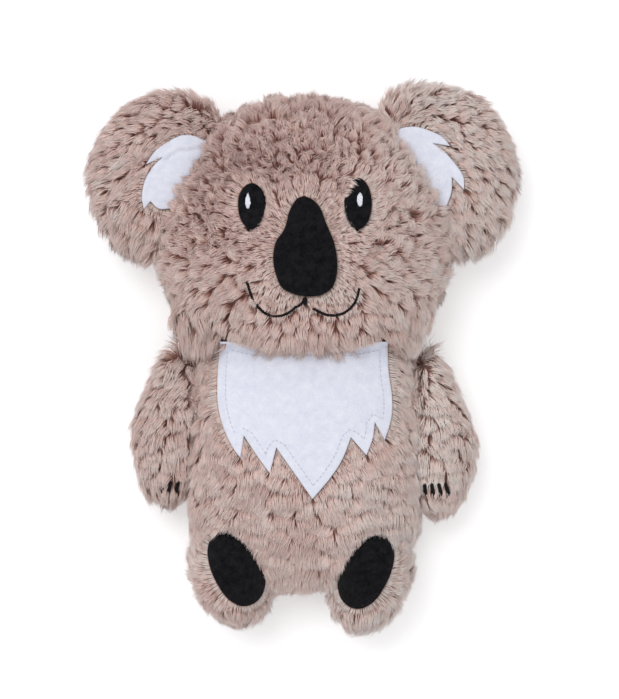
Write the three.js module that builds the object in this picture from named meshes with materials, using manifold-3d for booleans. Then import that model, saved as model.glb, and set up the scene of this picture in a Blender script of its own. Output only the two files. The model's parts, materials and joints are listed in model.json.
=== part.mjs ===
// A plush koala that lies on its back, face up. +Y runs from its feet to the top of its head, +X to the
// right as one looks down at its face, and +Z up from the surface that it lies on. Left and right in the
// names are as seen from the front. The origin is at the middle of its outline, on that surface.

import * as THREE from "three";
import { mergeVertices } from "three/addons/utils/BufferGeometryUtils.js";
import Module from "manifold-3d";

const wasm = await Module();
wasm.setup();

// Driving dimensions, in millimetres, measured to the middle of the pile
const coverThickness = 3; // backing cloth and the matted foot of the pile
const feltThickness = 1.5;
const threadThickness = 0.8;
const sewGap = 0.3; // between pieces that are sewn together
const restDepth = 0.5; // how deep the surface under the toy flattens it

const headWidth = 172;
const headLength = 144; // from the neck to the crown
const headSeamHeight = 34;
const headRise = 48; // from the side seam to the tip of the face

const torsoWidth = 134;
const torsoLength = 146; // from the neck down
const torsoSeamHeight = 30;
const torsoRise = 40;

const leftEar = { width: 86, length: 98, acrossShare: 0.977, upShare: 0.705 };
const rightEar = { width: 90, length: 100, acrossShare: 0.92, upShare: 0.726 };
const earRise = 15;
const earDrop = 13;

const leftArmLength = 92;
const rightArmLength = 101;
const armWidth = 34; // how far an arm stands out from the side of the torso
const shoulderDrop = 3; // from the neck to the top of the arm
const armSeamHeight = 28;
const armRise = 18;
const armDrop = 18;
const shoulderOpening = 34; // the length of the arm's top that is sewn to the torso

const leftLeg = { width: 43, length: 62, acrossShare: 0.65, downShare: 0.928 };
const rightLeg = { width: 43, length: 66, acrossShare: 0.575, downShare: 0.945 };
const legSeamHeight = 38;
const legRise = 27;
const legDrop = 24;
const legTurn = THREE.MathUtils.degToRad(15); // the knees lean outwards

const bibWidth = 104;
const bibLength = 90;
const bibDrop = 1.8; // from the neck to the top of the bib

const noseWidth = 37.5;
const noseLength = 59.5;
const noseThickness = 2.5;

const eyeWidth = 16.4;
const eyeLength = 30.5;
const highlightWidth = 4;
const highlightLength = 8.4;

const mouthThreadWidth = 2;
const knotWidth = 3;
const knotLength = 5;

const clawWidth = 2.2;
const clawLength = 7;

const padWidth = 27;
const padLength = 47;
const padTurn = THREE.MathUtils.degToRad(27);
const padInset = 1.2; // from the middle of the leg, towards the other leg

// How finely the forms are drawn: points round the outline, and rings from the crown to the seam
const largeForm = { around: 32, rings: 5 };
const earForm = { around: 20, rings: 4 };
const limbForm = { around: 18, rings: 4 };
const curveSteps = 8;
const smallOval = 14;
const largeOval = 20;

// How full a side is: 2 is an ellipse, and more is flatter on top with a rounder edge
const frontFullnessShare = 2.3;
const backFullnessShare = 3.2;
const formCentreShare = 0.42; // where the head and the torso are thickest, along their length from the neck
const armCentreShare = 0.33; // where an arm is thickest, across its width from the torso

// Outlines, as shares of each piece's own size. Half outlines run down the right side from the top.
// Head: across by half its width, and up by its length from the neck
const headHalfShares = [
  [0, 1], [0.27, 0.985], [0.53, 0.93], [0.7, 0.8], [0.84, 0.675], [0.965, 0.53], [1, 0.38],
  [0.96, 0.26], [0.885, 0.165], [0.8, 0.075], [0.765, 0], [0.68, -0.11], [0.45, -0.21], [0, -0.25],
];
// Torso: across by half its width, and down by its length from the neck
const torsoHalfShares = [
  [0, -0.27], [0.55, -0.22], [0.85, -0.08], [0.93, 0.03], [0.97, 0.15], [1, 0.4], [1, 0.6],
  [0.985, 0.75], [0.89, 0.87], [0.66, 0.955], [0.32, 0.993], [0, 1],
];
// Arm: out from the side of the torso by its width, and down from its top by its length
const armShares = [
  [0.28, 0], [0.48, 0.06], [0.66, 0.2], [0.9, 0.4], [1, 0.55], [0.95, 0.74], [0.84, 0.9],
  [0.55, 1], [0.2, 0.96], [-0.1, 0.8], [-0.3, 0.5], [-0.25, 0.2], [0, 0.03],
];
// Ear felts: out from the middle of the ear by half its width, and up by half its length
const leftEarFeltShares = [
  [-0.7, 0.35], [-0.44, 0.465], [-0.26, 0.48], [-0.09, 0.42], [0.075, 0.33], [0.19, 0.21],
  [0.256, 0.118], [0.026, 0.208], [0.13, 0.118], [0.223, 0.012], [0.284, -0.122], [0.31, -0.28],
  [0.284, -0.43], [0.19, -0.33], [0.074, -0.42], [-0.4, -0.4],
];
const rightEarFeltShares = [
  [-0.8, 0.3], [-0.64, 0.43], [-0.49, 0.49], [-0.3, 0.51], [-0.09, 0.456], [0.07, 0.384],
  [0.17, 0.276], [-0.06, 0.31], [0.107, 0.196], [0.25, 0.05], [0.347, -0.096], [0.356, -0.25],
  [0.193, -0.096], [0.187, -0.268], [0.12, -0.45], [-0.4, -0.4],
];
// Bib: across by half its width, and down by its length
const bibShares = [
  [-0.972, 0], [0.95, 0], [0.96, 0.162], [1, 0.344], [0.988, 0.471], [0.914, 0.614],
  [0.8, 0.495], [0.777, 0.595], [0.704, 0.713], [0.526, 0.595], [0.422, 0.744], [0.28, 0.868],
  [0.087, 1], [-0.325, 0.662], [-0.4, 0.831], [-0.541, 0.719], [-0.696, 0.584], [-0.734, 0.732],
  [-0.829, 0.656], [-0.931, 0.532], [-0.994, 0.383], [-1, 0.173],
];
// Nose: across by half its width, and up by half its length
const noseShares = [
  [-0.03, 1], [0.33, 0.9], [0.58, 0.73], [0.82, 0.29], [1, -0.17], [1, -0.56], [0.86, -0.82],
  [0.53, -0.97], [0.08, -1], [-0.41, -0.94], [-0.74, -0.81], [-0.92, -0.55], [-1, -0.27],
  [-0.92, 0.07], [-0.7, 0.32], [-0.58, 0.66], [-0.3, 0.93],
];
// Foot pad: outwards by half its width, and up by half its length, before it is turned
const padShares = [
  [0, 1], [0.55, 0.85], [0.92, 0.4], [1, -0.15], [0.82, -0.7], [0.3, -1], [-0.35, -0.95],
  [-0.85, -0.55], [-1, 0.05], [-0.85, 0.6], [-0.5, 0.92],
];

// Places on the head, across by half its width and up by its length
const noseUpShare = 0.403;
const eyeAcrossShare = 0.365;
const eyeUpShare = 0.578;
const highlightShift = { acrossShare: 0.27, upShare: 0.17 }; // outwards and up, by half the eye's own sizes
const leftMouthShares = [[-0.4, 0.26], [-0.345, 0.17], [-0.235, 0.115], [-0.12, 0.125], [-0.05, 0.16]];
const rightMouthShares = [[0.05, 0.15], [0.15, 0.12], [0.26, 0.125], [0.35, 0.175], [0.375, 0.235]];
// Places on the arm, as in its outline
const clawAcrossShares = [0.14, 0.27, 0.4, 0.53];
const leftClawDownShare = 0.9;
const rightClawDownShare = 0.83;
const pointShare = 0.3; // width of a claw's point, by the width of its root

// Materials
const plush = new THREE.MeshStandardMaterial({ color: 0xb9a197, roughness: 0.95, metalness: 0 });
const whiteFelt = new THREE.MeshStandardMaterial({ color: 0xe3e6f2, roughness: 0.95, metalness: 0 });
const blackFelt = new THREE.MeshStandardMaterial({ color: 0x16161a, roughness: 0.9, metalness: 0 });
const blackThread = new THREE.MeshStandardMaterial({ color: 0x1c1a1c, roughness: 0.7, metalness: 0 });
const whiteThread = new THREE.MeshStandardMaterial({ color: 0xf2f2f6, roughness: 0.7, metalness: 0 });
const fibre = new THREE.MeshStandardMaterial({ color: 0xf0eee8, roughness: 1, metalness: 0 });

// Solids
function toSolid(geometry) {
  const bare = geometry.clone();
  bare.deleteAttribute("normal");
  bare.deleteAttribute("uv");
  const merged = mergeVertices(bare);
  const mesh = new wasm.Mesh({
    numProp: 3,
    vertProperties: new Float32Array(merged.attributes.position.array),
    triVerts: new Uint32Array(merged.index.array),
  });
  return new wasm.Manifold(mesh);
}

function toGeometry(solid) {
  const mesh = solid.getMesh();
  const geometry = new THREE.BufferGeometry();
  geometry.setAttribute("position", new THREE.BufferAttribute(new Float32Array(mesh.vertProperties), 3));
  geometry.setIndex(new THREE.BufferAttribute(new Uint32Array(mesh.triVerts), 1));
  geometry.computeVertexNormals();
  return geometry;
}

// A block that clears everything on one side of a plane
const reach = headWidth + headLength + torsoLength;
function blockBeyond(axis, sign, place) {
  const block = new THREE.BoxGeometry(2 * reach, 2 * reach, 2 * reach);
  const shift = new THREE.Vector3();
  shift[axis] = place + sign * reach;
  return toSolid(block.translate(shift.x, shift.y, shift.z));
}

// Outlines
function smoothLoop(points, count) {
  const knots = points.map((point) => new THREE.Vector3(point.x, point.y, 0));
  const loop = new THREE.CatmullRomCurve3(knots, true, "centripetal").getSpacedPoints(count);
  return loop.slice(0, count).map((point) => new THREE.Vector2(point.x, point.y));
}

function mirroredHalf(halfShares) {
  const left = halfShares.slice(1, -1).reverse();
  return [...halfShares, ...left.map(([across, along]) => [-across, along])];
}

function placed(shares, across, along, centre = new THREE.Vector2()) {
  return shares.map(([x, y]) => new THREE.Vector2(centre.x + x * across, centre.y + y * along));
}

function ovalShares(count) {
  const turn = (2 * Math.PI) / count;
  return Array.from({ length: count }, (_, i) => [Math.cos(i * turn), Math.sin(i * turn)]);
}

function turned(points, centre, angle) {
  return points.map((point) => point.clone().rotateAround(centre, angle));
}

function anticlockwise(points) {
  return THREE.ShapeUtils.area(points) > 0 ? points : [...points].reverse();
}

// The band that a thread covers along a smooth line through the points
function threadOutline(points, width) {
  const knots = points.map((point) => new THREE.Vector3(point.x, point.y, 0));
  const line = new THREE.CatmullRomCurve3(knots, false, "centripetal");
  const side = (sign) => Array.from({ length: curveSteps + 1 }, (_, i) => {
    const at = line.getPointAt(i / curveSteps);
    const along = line.getTangentAt(i / curveSteps);
    const out = (sign * width) / 2;
    return new THREE.Vector2(at.x - along.y * out, at.y + along.x * out);
  });
  return [...side(1), ...side(-1).reverse()];
}

// Stuffed forms: an outline that swells from its side seam to a rounded front and back
function stuffedForm({ outline, centre, width, length, seamHeight, rise, drop, detail }) {
  const loop = anticlockwise(smoothLoop(outline, detail.around));
  return { loop, centre, width, length, seamHeight, rise, drop, rings: detail.rings };
}

function grownPoint(form, point, spread, grow) {
  const across = (point.x - form.centre.x) * spread * (1 + (2 * grow) / form.width);
  const along = (point.y - form.centre.y) * spread * (1 + (2 * grow) / form.length);
  return new THREE.Vector2(form.centre.x + across, form.centre.y + along);
}

// One side of a form, from its crown to its seam; sign is 1 for the front and -1 for the back
function sideRings(form, sign, grow, seamGap) {
  const fullness = sign > 0 ? frontFullnessShare : backFullnessShare;
  const height = (sign > 0 ? form.rise : form.drop) + grow - seamGap;
  const start = form.seamHeight + sign * seamGap;
  const rings = Array.from({ length: form.rings }, (_, i) => {
    const turn = ((i + 1) / form.rings) * (Math.PI / 2);
    const spread = Math.sin(turn) ** (2 / fullness);
    const lift = i + 1 === form.rings ? 0 : Math.cos(turn) ** (2 / fullness);
    return form.loop.map((point) => {
      const at = grownPoint(form, point, spread, grow);
      return new THREE.Vector3(at.x, at.y, start + sign * height * lift);
    });
  });
  return { crown: new THREE.Vector3(form.centre.x, form.centre.y, start + sign * height), rings };
}

// A closed surface through rings of points, from a first to a last pole. It faces out when the rings
// run anticlockwise about the way from the last pole to the first.
function sewRings(first, rings, last) {
  const around = rings[0].length;
  const points = [first, ...rings.flat(), last];
  const ring = (row, i) => 1 + row * around + (i % around);
  const faces = [];
  for (let i = 0; i < around; i += 1) {
    faces.push(0, ring(0, i), ring(0, i + 1));
    for (let row = 0; row + 1 < rings.length; row += 1) {
      faces.push(ring(row, i), ring(row + 1, i), ring(row, i + 1));
      faces.push(ring(row, i + 1), ring(row + 1, i), ring(row + 1, i + 1));
    }
    faces.push(points.length - 1, ring(rings.length - 1, i + 1), ring(rings.length - 1, i));
  }
  return new THREE.BufferGeometry().setFromPoints(points).setIndex(faces);
}

function wholeForm(form, grow = 0) {
  const front = sideRings(form, 1, grow, 0);
  const back = sideRings(form, -1, grow, 0);
  return sewRings(front.crown, [...front.rings, ...back.rings.slice(0, -1).reverse()], back.crown);
}

// One cover panel: the shell from the outside in, open at the seam
function coverPanel(form, sign) {
  const outer = sideRings(form, sign, 0, sewGap / 2);
  const inner = sideRings(form, sign, -coverThickness, sewGap / 2);
  if (sign > 0) {
    return sewRings(outer.crown, [...outer.rings, ...inner.rings.reverse()], inner.crown);
  }
  return sewRings(inner.crown, [...inner.rings, ...outer.rings.reverse()], outer.crown);
}

// A form with the space under it, for cutting what is sewn to its side
function cutterOf(form) {
  const outline = form.loop.map((point) => grownPoint(form, point, 1, sewGap));
  const under = new THREE.ExtrudeGeometry(new THREE.Shape(outline), {
    depth: form.seamHeight + reach,
    bevelEnabled: false,
  });
  return toSolid(wholeForm(form, sewGap)).add(toSolid(under.translate(0, 0, -reach)));
}

// A flat patch of cloth or thread laid on the front of a form
function patchOn(form, outline, bottom, thickness, cutters = []) {
  const prism = new THREE.ExtrudeGeometry(new THREE.Shape(anticlockwise(outline)), {
    depth: reach,
    bevelEnabled: false,
  });
  const raised = (lift) => toSolid(wholeForm(form).translate(0, 0, lift));
  prism.translate(0, 0, form.seamHeight);
  let patch = raised(bottom + thickness).subtract(raised(bottom)).intersect(toSolid(prism));
  cutters.forEach((cutter) => {
    patch = patch.subtract(cutter);
  });
  return toGeometry(patch);
}

// Pieces
const koala = new THREE.Group();

function addPiece(name, geometry, material) {
  const mesh = new THREE.Mesh(geometry, material);
  mesh.name = name;
  koala.add(mesh);
}

// The front panel, back panel and stuffing of a form, cut by what they are sewn to
function addStuffed(name, form, cutters) {
  const cut = (geometry) => {
    const solid = cutters.reduce((left, cutter) => left.subtract(cutter), toSolid(geometry));
    return toGeometry(solid);
  };
  addPiece(`${name}_front_panel`, cut(coverPanel(form, 1)), plush);
  addPiece(`${name}_back_panel`, cut(coverPanel(form, -1)), plush);
  addPiece(`${name}_stuffing`, cut(wholeForm(form, -coverThickness - sewGap)), fibre);
}

// Head and torso meet at the neck, and the surface under them flattens both
const underside = blockBeyond("z", -1, 0);
const belowNeck = blockBeyond("y", -1, sewGap / 2);
const aboveNeck = blockBeyond("y", 1, -sewGap / 2);

const headForm = stuffedForm({
  outline: placed(mirroredHalf(headHalfShares), headWidth / 2, headLength),
  centre: new THREE.Vector2(0, formCentreShare * headLength),
  width: headWidth,
  length: headLength,
  seamHeight: headSeamHeight,
  rise: headRise,
  drop: headSeamHeight + restDepth,
  detail: largeForm,
});
addStuffed("head", headForm, [underside, belowNeck]);

const torsoForm = stuffedForm({
  outline: placed(mirroredHalf(torsoHalfShares), torsoWidth / 2, -torsoLength),
  centre: new THREE.Vector2(0, -formCentreShare * torsoLength),
  width: torsoWidth,
  length: torsoLength,
  seamHeight: torsoSeamHeight,
  rise: torsoRise,
  drop: torsoSeamHeight + restDepth,
  detail: largeForm,
});
addStuffed("torso", torsoForm, [underside, aboveNeck]);

// Ears, sewn into the side of the head, each with its felt
const headCutter = cutterOf(headForm);

function addEar(name, side, ear, feltShares) {
  const centre = new THREE.Vector2((side * ear.acrossShare * headWidth) / 2, ear.upShare * headLength);
  const form = stuffedForm({
    outline: placed(ovalShares(earForm.around), ear.width / 2, ear.length / 2, centre),
    centre,
    width: ear.width,
    length: ear.length,
    seamHeight: headSeamHeight,
    rise: earRise,
    drop: earDrop,
    detail: earForm,
  });
  addStuffed(`${name}_ear`, form, [headCutter]);
  const felt = placed(feltShares, (side * ear.width) / 2, ear.length / 2, centre);
  addPiece(`${name}_inner_ear_felt`, patchOn(form, felt, sewGap, feltThickness, [headCutter]), whiteFelt);
}
addEar("left", -1, leftEar, leftEarFeltShares);
addEar("right", 1, rightEar, rightEarFeltShares);

// Arms, sewn to the sides of the torso at the shoulder, each with its claws. An arm is flat where it lies
// against the torso, and its cover is open there only at the shoulder.
function insideSleeve(form, side, inside, wall, clearance) {
  const whole = toSolid(wholeForm(form, -wall - clearance));
  const shoulderEnd = -shoulderDrop - shoulderOpening + clearance;
  const behindWall = blockBeyond("x", -side, inside + side * (wall + clearance));
  const belowShoulder = blockBeyond("y", -1, shoulderEnd);
  const shoulder = whole.subtract(blockBeyond("x", -side, inside)).subtract(belowShoulder);
  return whole.subtract(behindWall).add(shoulder);
}

function sleeve(form, side, inside) {
  const outer = toSolid(wholeForm(form)).subtract(blockBeyond("x", -side, inside));
  return {
    cover: outer.subtract(insideSleeve(form, side, inside, coverThickness, 0)),
    stuffing: insideSleeve(form, side, inside, coverThickness, sewGap),
  };
}

const behindSeam = (form) => blockBeyond("z", -1, form.seamHeight + sewGap / 2);
const beforeSeam = (form) => blockBeyond("z", 1, form.seamHeight - sewGap / 2);

function addArm(name, side, length, clawDownShare) {
  const inside = side * (torsoWidth / 2 + sewGap);
  const corner = new THREE.Vector2(inside, -shoulderDrop);
  const form = stuffedForm({
    outline: placed(armShares, side * armWidth, -length, corner),
    centre: new THREE.Vector2(inside + side * armCentreShare * armWidth, -shoulderDrop - length / 2),
    width: armWidth,
    length,
    seamHeight: armSeamHeight,
    rise: armRise,
    drop: armDrop,
    detail: limbForm,
  });
  const { cover, stuffing } = sleeve(form, side, inside);
  addPiece(`${name}_arm_front_panel`, toGeometry(cover.subtract(behindSeam(form))), plush);
  addPiece(`${name}_arm_back_panel`, toGeometry(cover.subtract(beforeSeam(form))), plush);
  addPiece(`${name}_arm_stuffing`, toGeometry(stuffing), fibre);
  clawAcrossShares.forEach((acrossShare, i) => {
    const root = new THREE.Vector2(
      inside + side * acrossShare * armWidth,
      -shoulderDrop - clawDownShare * length + clawLength / 2,
    );
    const point = (clawWidth / 2) * pointShare;
    const claw = [
      new THREE.Vector2(root.x - clawWidth / 2, root.y),
      new THREE.Vector2(root.x - point, root.y - clawLength),
      new THREE.Vector2(root.x + point, root.y - clawLength),
      new THREE.Vector2(root.x + clawWidth / 2, root.y),
    ];
    addPiece(`${name}_claw_${i + 1}`, patchOn(form, claw, sewGap, threadThickness), blackThread);
  });
}
addArm("left", -1, leftArmLength, leftClawDownShare);
addArm("right", 1, rightArmLength, rightClawDownShare);

// Legs, sewn to the lower front of the torso, each with its foot pad
const torsoCutter = cutterOf(torsoForm);

function addLeg(name, side, leg) {
  const centre = new THREE.Vector2((side * leg.acrossShare * torsoWidth) / 2, -leg.downShare * torsoLength);
  const oval = placed(ovalShares(limbForm.around), leg.width / 2, leg.length / 2, centre);
  const form = stuffedForm({
    outline: turned(oval, centre, -side * legTurn),
    centre,
    width: leg.width,
    length: leg.length,
    seamHeight: legSeamHeight,
    rise: legRise,
    drop: legDrop,
    detail: limbForm,
  });
  addStuffed(`${name}_leg`, form, [torsoCutter]);
  const padCentre = new THREE.Vector2(centre.x - side * padInset, centre.y);
  const pad = smoothLoop(placed(padShares, (side * padWidth) / 2, padLength / 2, padCentre), largeOval);
  const outline = turned(pad, padCentre, -side * padTurn);
  addPiece(`${name}_foot_pad`, patchOn(form, outline, sewGap, feltThickness, [torsoCutter]), blackFelt);
}
addLeg("left", -1, leftLeg);
addLeg("right", 1, rightLeg);

// Bib on the chest
const bibOutline = placed(bibShares, bibWidth / 2, -bibLength, new THREE.Vector2(0, -bibDrop));
addPiece("chest_bib", patchOn(torsoForm, bibOutline, sewGap, feltThickness), whiteFelt);

// Face
function onHead(acrossShare, upShare) {
  return new THREE.Vector2((acrossShare * headWidth) / 2, upShare * headLength);
}

const noseOutline = placed(noseShares, noseWidth / 2, noseLength / 2, onHead(0, noseUpShare));
addPiece("nose", patchOn(headForm, noseOutline, sewGap, noseThickness), blackFelt);

function addEye(name, side) {
  const centre = onHead(side * eyeAcrossShare, eyeUpShare);
  const eye = placed(ovalShares(largeOval), eyeWidth / 2, eyeLength / 2, centre);
  addPiece(`${name}_eye`, patchOn(headForm, eye, sewGap, feltThickness), blackFelt);
  const shineCentre = new THREE.Vector2(
    centre.x + (side * highlightShift.acrossShare * eyeWidth) / 2,
    centre.y + (highlightShift.upShare * eyeLength) / 2,
  );
  const shine = placed(ovalShares(smallOval), highlightWidth / 2, highlightLength / 2, shineCentre);
  const bottom = sewGap + feltThickness + sewGap;
  addPiece(`${name}_eye_highlight`, patchOn(headForm, shine, bottom, threadThickness), whiteThread);
}
addEye("left", -1);
addEye("right", 1);

function addMouth(name, shares) {
  const line = shares.map(([across, up]) => onHead(across, up));
  const outline = threadOutline(line, mouthThreadWidth);
  addPiece(name, patchOn(headForm, outline, sewGap, threadThickness), blackThread);
}
addMouth("left_mouth_thread", leftMouthShares);
addMouth("right_mouth_thread", rightMouthShares);

const knotCentre = onHead(0, noseUpShare);
knotCentre.y -= noseLength / 2 + sewGap + knotLength / 2;
const knot = placed(ovalShares(smallOval), knotWidth / 2, knotLength / 2, knotCentre);
addPiece("mouth_knot", patchOn(headForm, knot, sewGap, threadThickness), blackThread);

// The origin, under the middle of the whole toy
const bounds = new THREE.Box3().setFromObject(koala);
const middle = bounds.getCenter(new THREE.Vector3());
koala.position.set(-middle.x, -middle.y, -bounds.min.z);

export default koala;
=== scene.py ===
"""A plush koala that lies on its back: long clumped pile on a stuffed cover, with a felt bib, inner ears,
nose, eyes and foot pads, and with an embroidered mouth, claws and eye highlights.

Lengths are in millimetres until a mesh is made, and left and right are as seen from the front.
"""

import json
import math
from collections import namedtuple
from functools import partial

import bmesh
import bpy
import numpy as np
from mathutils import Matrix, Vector, noise
from mathutils.bvhtree import BVHTree
from mathutils.geometry import delaunay_2d_cdt
from mathutils.kdtree import KDTree


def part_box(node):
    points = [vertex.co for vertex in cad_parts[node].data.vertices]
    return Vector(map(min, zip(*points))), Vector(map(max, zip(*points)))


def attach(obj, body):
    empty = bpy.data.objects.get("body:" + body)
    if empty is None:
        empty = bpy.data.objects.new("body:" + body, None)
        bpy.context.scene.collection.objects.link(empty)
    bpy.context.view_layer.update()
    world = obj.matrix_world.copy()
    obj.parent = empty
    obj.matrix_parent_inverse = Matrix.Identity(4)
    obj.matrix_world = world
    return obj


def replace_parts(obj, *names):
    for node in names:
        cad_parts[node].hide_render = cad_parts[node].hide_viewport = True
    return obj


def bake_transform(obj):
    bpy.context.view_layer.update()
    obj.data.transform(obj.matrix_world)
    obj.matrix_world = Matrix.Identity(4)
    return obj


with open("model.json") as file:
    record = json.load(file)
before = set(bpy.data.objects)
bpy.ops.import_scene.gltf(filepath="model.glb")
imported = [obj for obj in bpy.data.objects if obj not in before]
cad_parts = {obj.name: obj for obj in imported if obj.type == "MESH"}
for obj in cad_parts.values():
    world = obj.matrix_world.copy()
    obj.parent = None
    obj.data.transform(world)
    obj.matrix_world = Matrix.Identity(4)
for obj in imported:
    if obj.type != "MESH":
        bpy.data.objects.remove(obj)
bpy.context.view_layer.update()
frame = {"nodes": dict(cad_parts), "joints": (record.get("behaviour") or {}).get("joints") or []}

MM = 0.001
SEED = 4299
SIDES = {"left": -1, "right": 1}
ABOVE_ALL = 300.0  # a height that nothing reaches


# ---------------------------------------------------------------- places taken from the frame

def corners(node):
    """The lowest and highest corner of a CAD node."""
    low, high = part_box(node)
    return np.array(low) / MM, np.array(high) / MM


def middle(node):
    low, high = corners(node)
    return (low + high) / 2


def hinge(name):
    """A point on a joint's axis, and the way of the axis."""
    joint = next(j for j in frame["joints"] if j["name"] == name)
    return np.array(joint["pos_m"]) / MM, np.array(joint["axis"])


CENTRE_X = middle("torso_front_panel")[0]
NECK_Y = corners("torso_front_panel")[1][1]
NOSE_AT = middle("nose")[:2]


# ---------------------------------------------------------------- plain geometry

def unit(vectors):
    return vectors / np.maximum(np.linalg.norm(vectors, axis=-1, keepdims=True), 1e-9)


def step_between(low, high, value):
    """0 below low, 1 above high, and smooth in between."""
    t = np.clip((value - low) / (high - low), 0, 1)
    return t * t * (3 - 2 * t)


def drift(points, size, offset=0.0):
    """Slow change from about -1 to 1 over the points, with features of about this size."""
    shift = Vector((offset, 1.7 * offset, 0.6 * offset))
    return np.array([noise.noise(Vector(p) / size + shift) for p in points.tolist()])


def flat_to(normals, vectors):
    """The vectors laid flat on the surface with these normals, one long each."""
    return unit(vectors - normals * (vectors * normals).sum(1, keepdims=True))


def turned_on(normals, vectors, angles):
    """The vectors turned about the normals."""
    c, s = np.cos(angles)[:, None], np.sin(angles)[:, None]
    return vectors * c + np.cross(normals, vectors) * s


class Surface:
    """A closed form: points and four-sided faces, with its normals and a tree to find places on it."""

    def __init__(self, points, faces):
        self.points, self.faces = points, faces
        self.tris = np.concatenate([faces[:, [0, 1, 2]], faces[:, [0, 2, 3]]])
        at = points[self.tris]
        turned = np.cross(at[:, 1] - at[:, 0], at[:, 2] - at[:, 0])
        self.areas = np.linalg.norm(turned, axis=1) / 2
        normals = np.zeros_like(points)
        for k in range(3):
            np.add.at(normals, self.tris[:, k], turned)
        self.normals = unit(normals)
        self.tree = BVHTree.FromPolygons(points.tolist(), faces.tolist())
        self.low, self.high = points.min(0), points.max(0)

    def moved(self, outwards):
        return Surface(self.points + self.normals * np.reshape(outwards, (-1, 1)), self.faces)

    def drawn_in(self, inset):
        """The form drawn in by about this much, and by less where it is thin."""
        room = np.full(len(self.points), 1e3)
        for i, (p, n) in enumerate(zip(self.points.tolist(), self.normals.tolist())):
            way = -Vector(n)
            hit = self.tree.ray_cast(Vector(p) + way * 0.2, way)
            if hit[0]:
                room[i] = hit[3]
        return self.moved(-np.minimum(inset, 0.4 * room))

    def height_at(self, x, y):
        """The height of the front above a point, or of the form's edge for a point just beside it."""
        hit = self.tree.ray_cast(Vector((x, y, ABOVE_ALL)), Vector((0, 0, -1)))
        return hit[0].z if hit[0] else self.tree.find_nearest(Vector((x, y, 0.75 * self.high[2])))[0].z

    def gap_to(self, points, reach):
        """How far outside the form the points lie: less than zero inside, and reach where far off."""
        gaps = np.full(len(points), float(reach))
        near = np.flatnonzero(((points > self.low - reach) & (points < self.high + reach)).all(1))
        for i in near:
            at, normal, _, gap = self.tree.find_nearest(Vector(points[i]))
            gaps[i] = math.copysign(min(gap, reach), (Vector(points[i]) - at).dot(normal))
        return gaps


def mean_of(groups, count, values):
    """The mean of the rows of values in each of the groups."""
    total = [np.bincount(groups, values[:, k], count) for k in range(values.shape[1])]
    return np.stack(total, 1) / np.maximum(np.bincount(groups, minlength=count), 1)[:, None]


def lengths_along(path):
    """How far along a path each of its points lies."""
    return np.concatenate([[0], np.cumsum(np.linalg.norm(np.diff(path, axis=0), axis=1))])


def numbers_of(items, attribute, width=1, kind=float):
    """One attribute of a mesh's items, in rows of this width."""
    found = np.empty(len(items) * width, kind)
    items.foreach_get(attribute, found)
    return found.reshape(-1, width)


def cad_mesh(nodes):
    """The points and triangles of these CAD nodes together."""
    points, triangles, start = [], [], 0
    for name in nodes:
        mesh = frame["nodes"][name].data
        mesh.calc_loop_triangles()
        points.append(numbers_of(mesh.vertices, "co", 3) / MM)
        triangles.append(numbers_of(mesh.loop_triangles, "vertices", 3, int) + start)
        start += len(mesh.vertices)
    return np.concatenate(points), np.concatenate(triangles)


def largest_part(points, faces):
    """The biggest connected part of a mesh, without what lies inside it."""
    labels = np.arange(len(points))
    while True:
        low = labels[faces].min(axis=1)
        joined = labels.copy()
        np.minimum.at(joined, faces.ravel(), np.repeat(low, faces.shape[1]))
        joined = joined[joined]
        if (joined == labels).all():
            break
        labels = joined
    kept = labels == np.bincount(labels).argmax()
    renumbered = np.cumsum(kept) - 1
    return points[kept], renumbered[faces[kept[faces[:, 0]]]]


def relaxed(points, faces, rounds):
    """The points with the small steps between them smoothed away, and the volume kept."""
    edges = np.concatenate([np.stack([faces[:, k], faces[:, (k + 1) % 4]], 1) for k in range(4)])
    starts, ends = np.concatenate([edges, edges[:, ::-1]]).T
    for _ in range(rounds):
        for share in (0.5, -0.52):
            points = points + share * (mean_of(starts, len(points), points[ends]) - points)
    return points


def open_edges(faces):
    """The edges that have one of these faces on one side only, as pairs of points."""
    ways = {(f[k], f[(k + 1) % len(f)]) for f in faces for k in range(len(f))}
    return [(a, b) for a, b in ways if (b, a) not in ways]


def sheet(outer, inner, faces):
    """The points and faces of a sheet between two sides with the same faces, closed along its rim."""
    count = len(outer)
    back = [[i + count for i in reversed(f)] for f in faces]
    rim = [[b, a, a + count, b + count] for a, b in open_edges(faces)]
    return np.concatenate([outer, inner]), faces + back + rim


def placed(name, data):
    """A new object in the scene."""
    thing = bpy.data.objects.new(name, data)
    bpy.context.scene.collection.objects.link(thing)
    return thing


def closed_form(nodes, voxel, rounds=12):
    """One closed smooth surface round these CAD solids."""
    points, triangles = cad_mesh(nodes)
    mesh = bpy.data.meshes.new("form")
    mesh.from_pydata((points * MM).tolist(), [], triangles.tolist())
    form = placed("form", mesh)
    remesh = form.modifiers.new("form", "REMESH")
    remesh.mode, remesh.voxel_size = "VOXEL", voxel * MM
    skin = bpy.data.meshes.new_from_object(form.evaluated_get(bpy.context.evaluated_depsgraph_get()))
    points = numbers_of(skin.vertices, "co", 3) / MM
    faces = numbers_of(skin.loops, "vertex_index", kind=int).reshape(-1, 4)
    bpy.data.objects.remove(form)
    for used in (mesh, skin):
        bpy.data.meshes.remove(used)
    points, faces = largest_part(points, faces)
    return Surface(relaxed(points, faces, rounds), faces)


def new_piece(name, points, faces, material, slot):
    """A new object with smooth shading, from points in millimetres."""
    mesh = bpy.data.meshes.new(name)
    mesh.from_pydata((np.asarray(points) * MM).tolist(), [], [[int(i) for i in f] for f in faces])
    mesh.shade_smooth()
    mesh.materials.append(material)
    return placed(name, mesh)


# ---------------------------------------------------------------- how the pieces are placed


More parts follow.
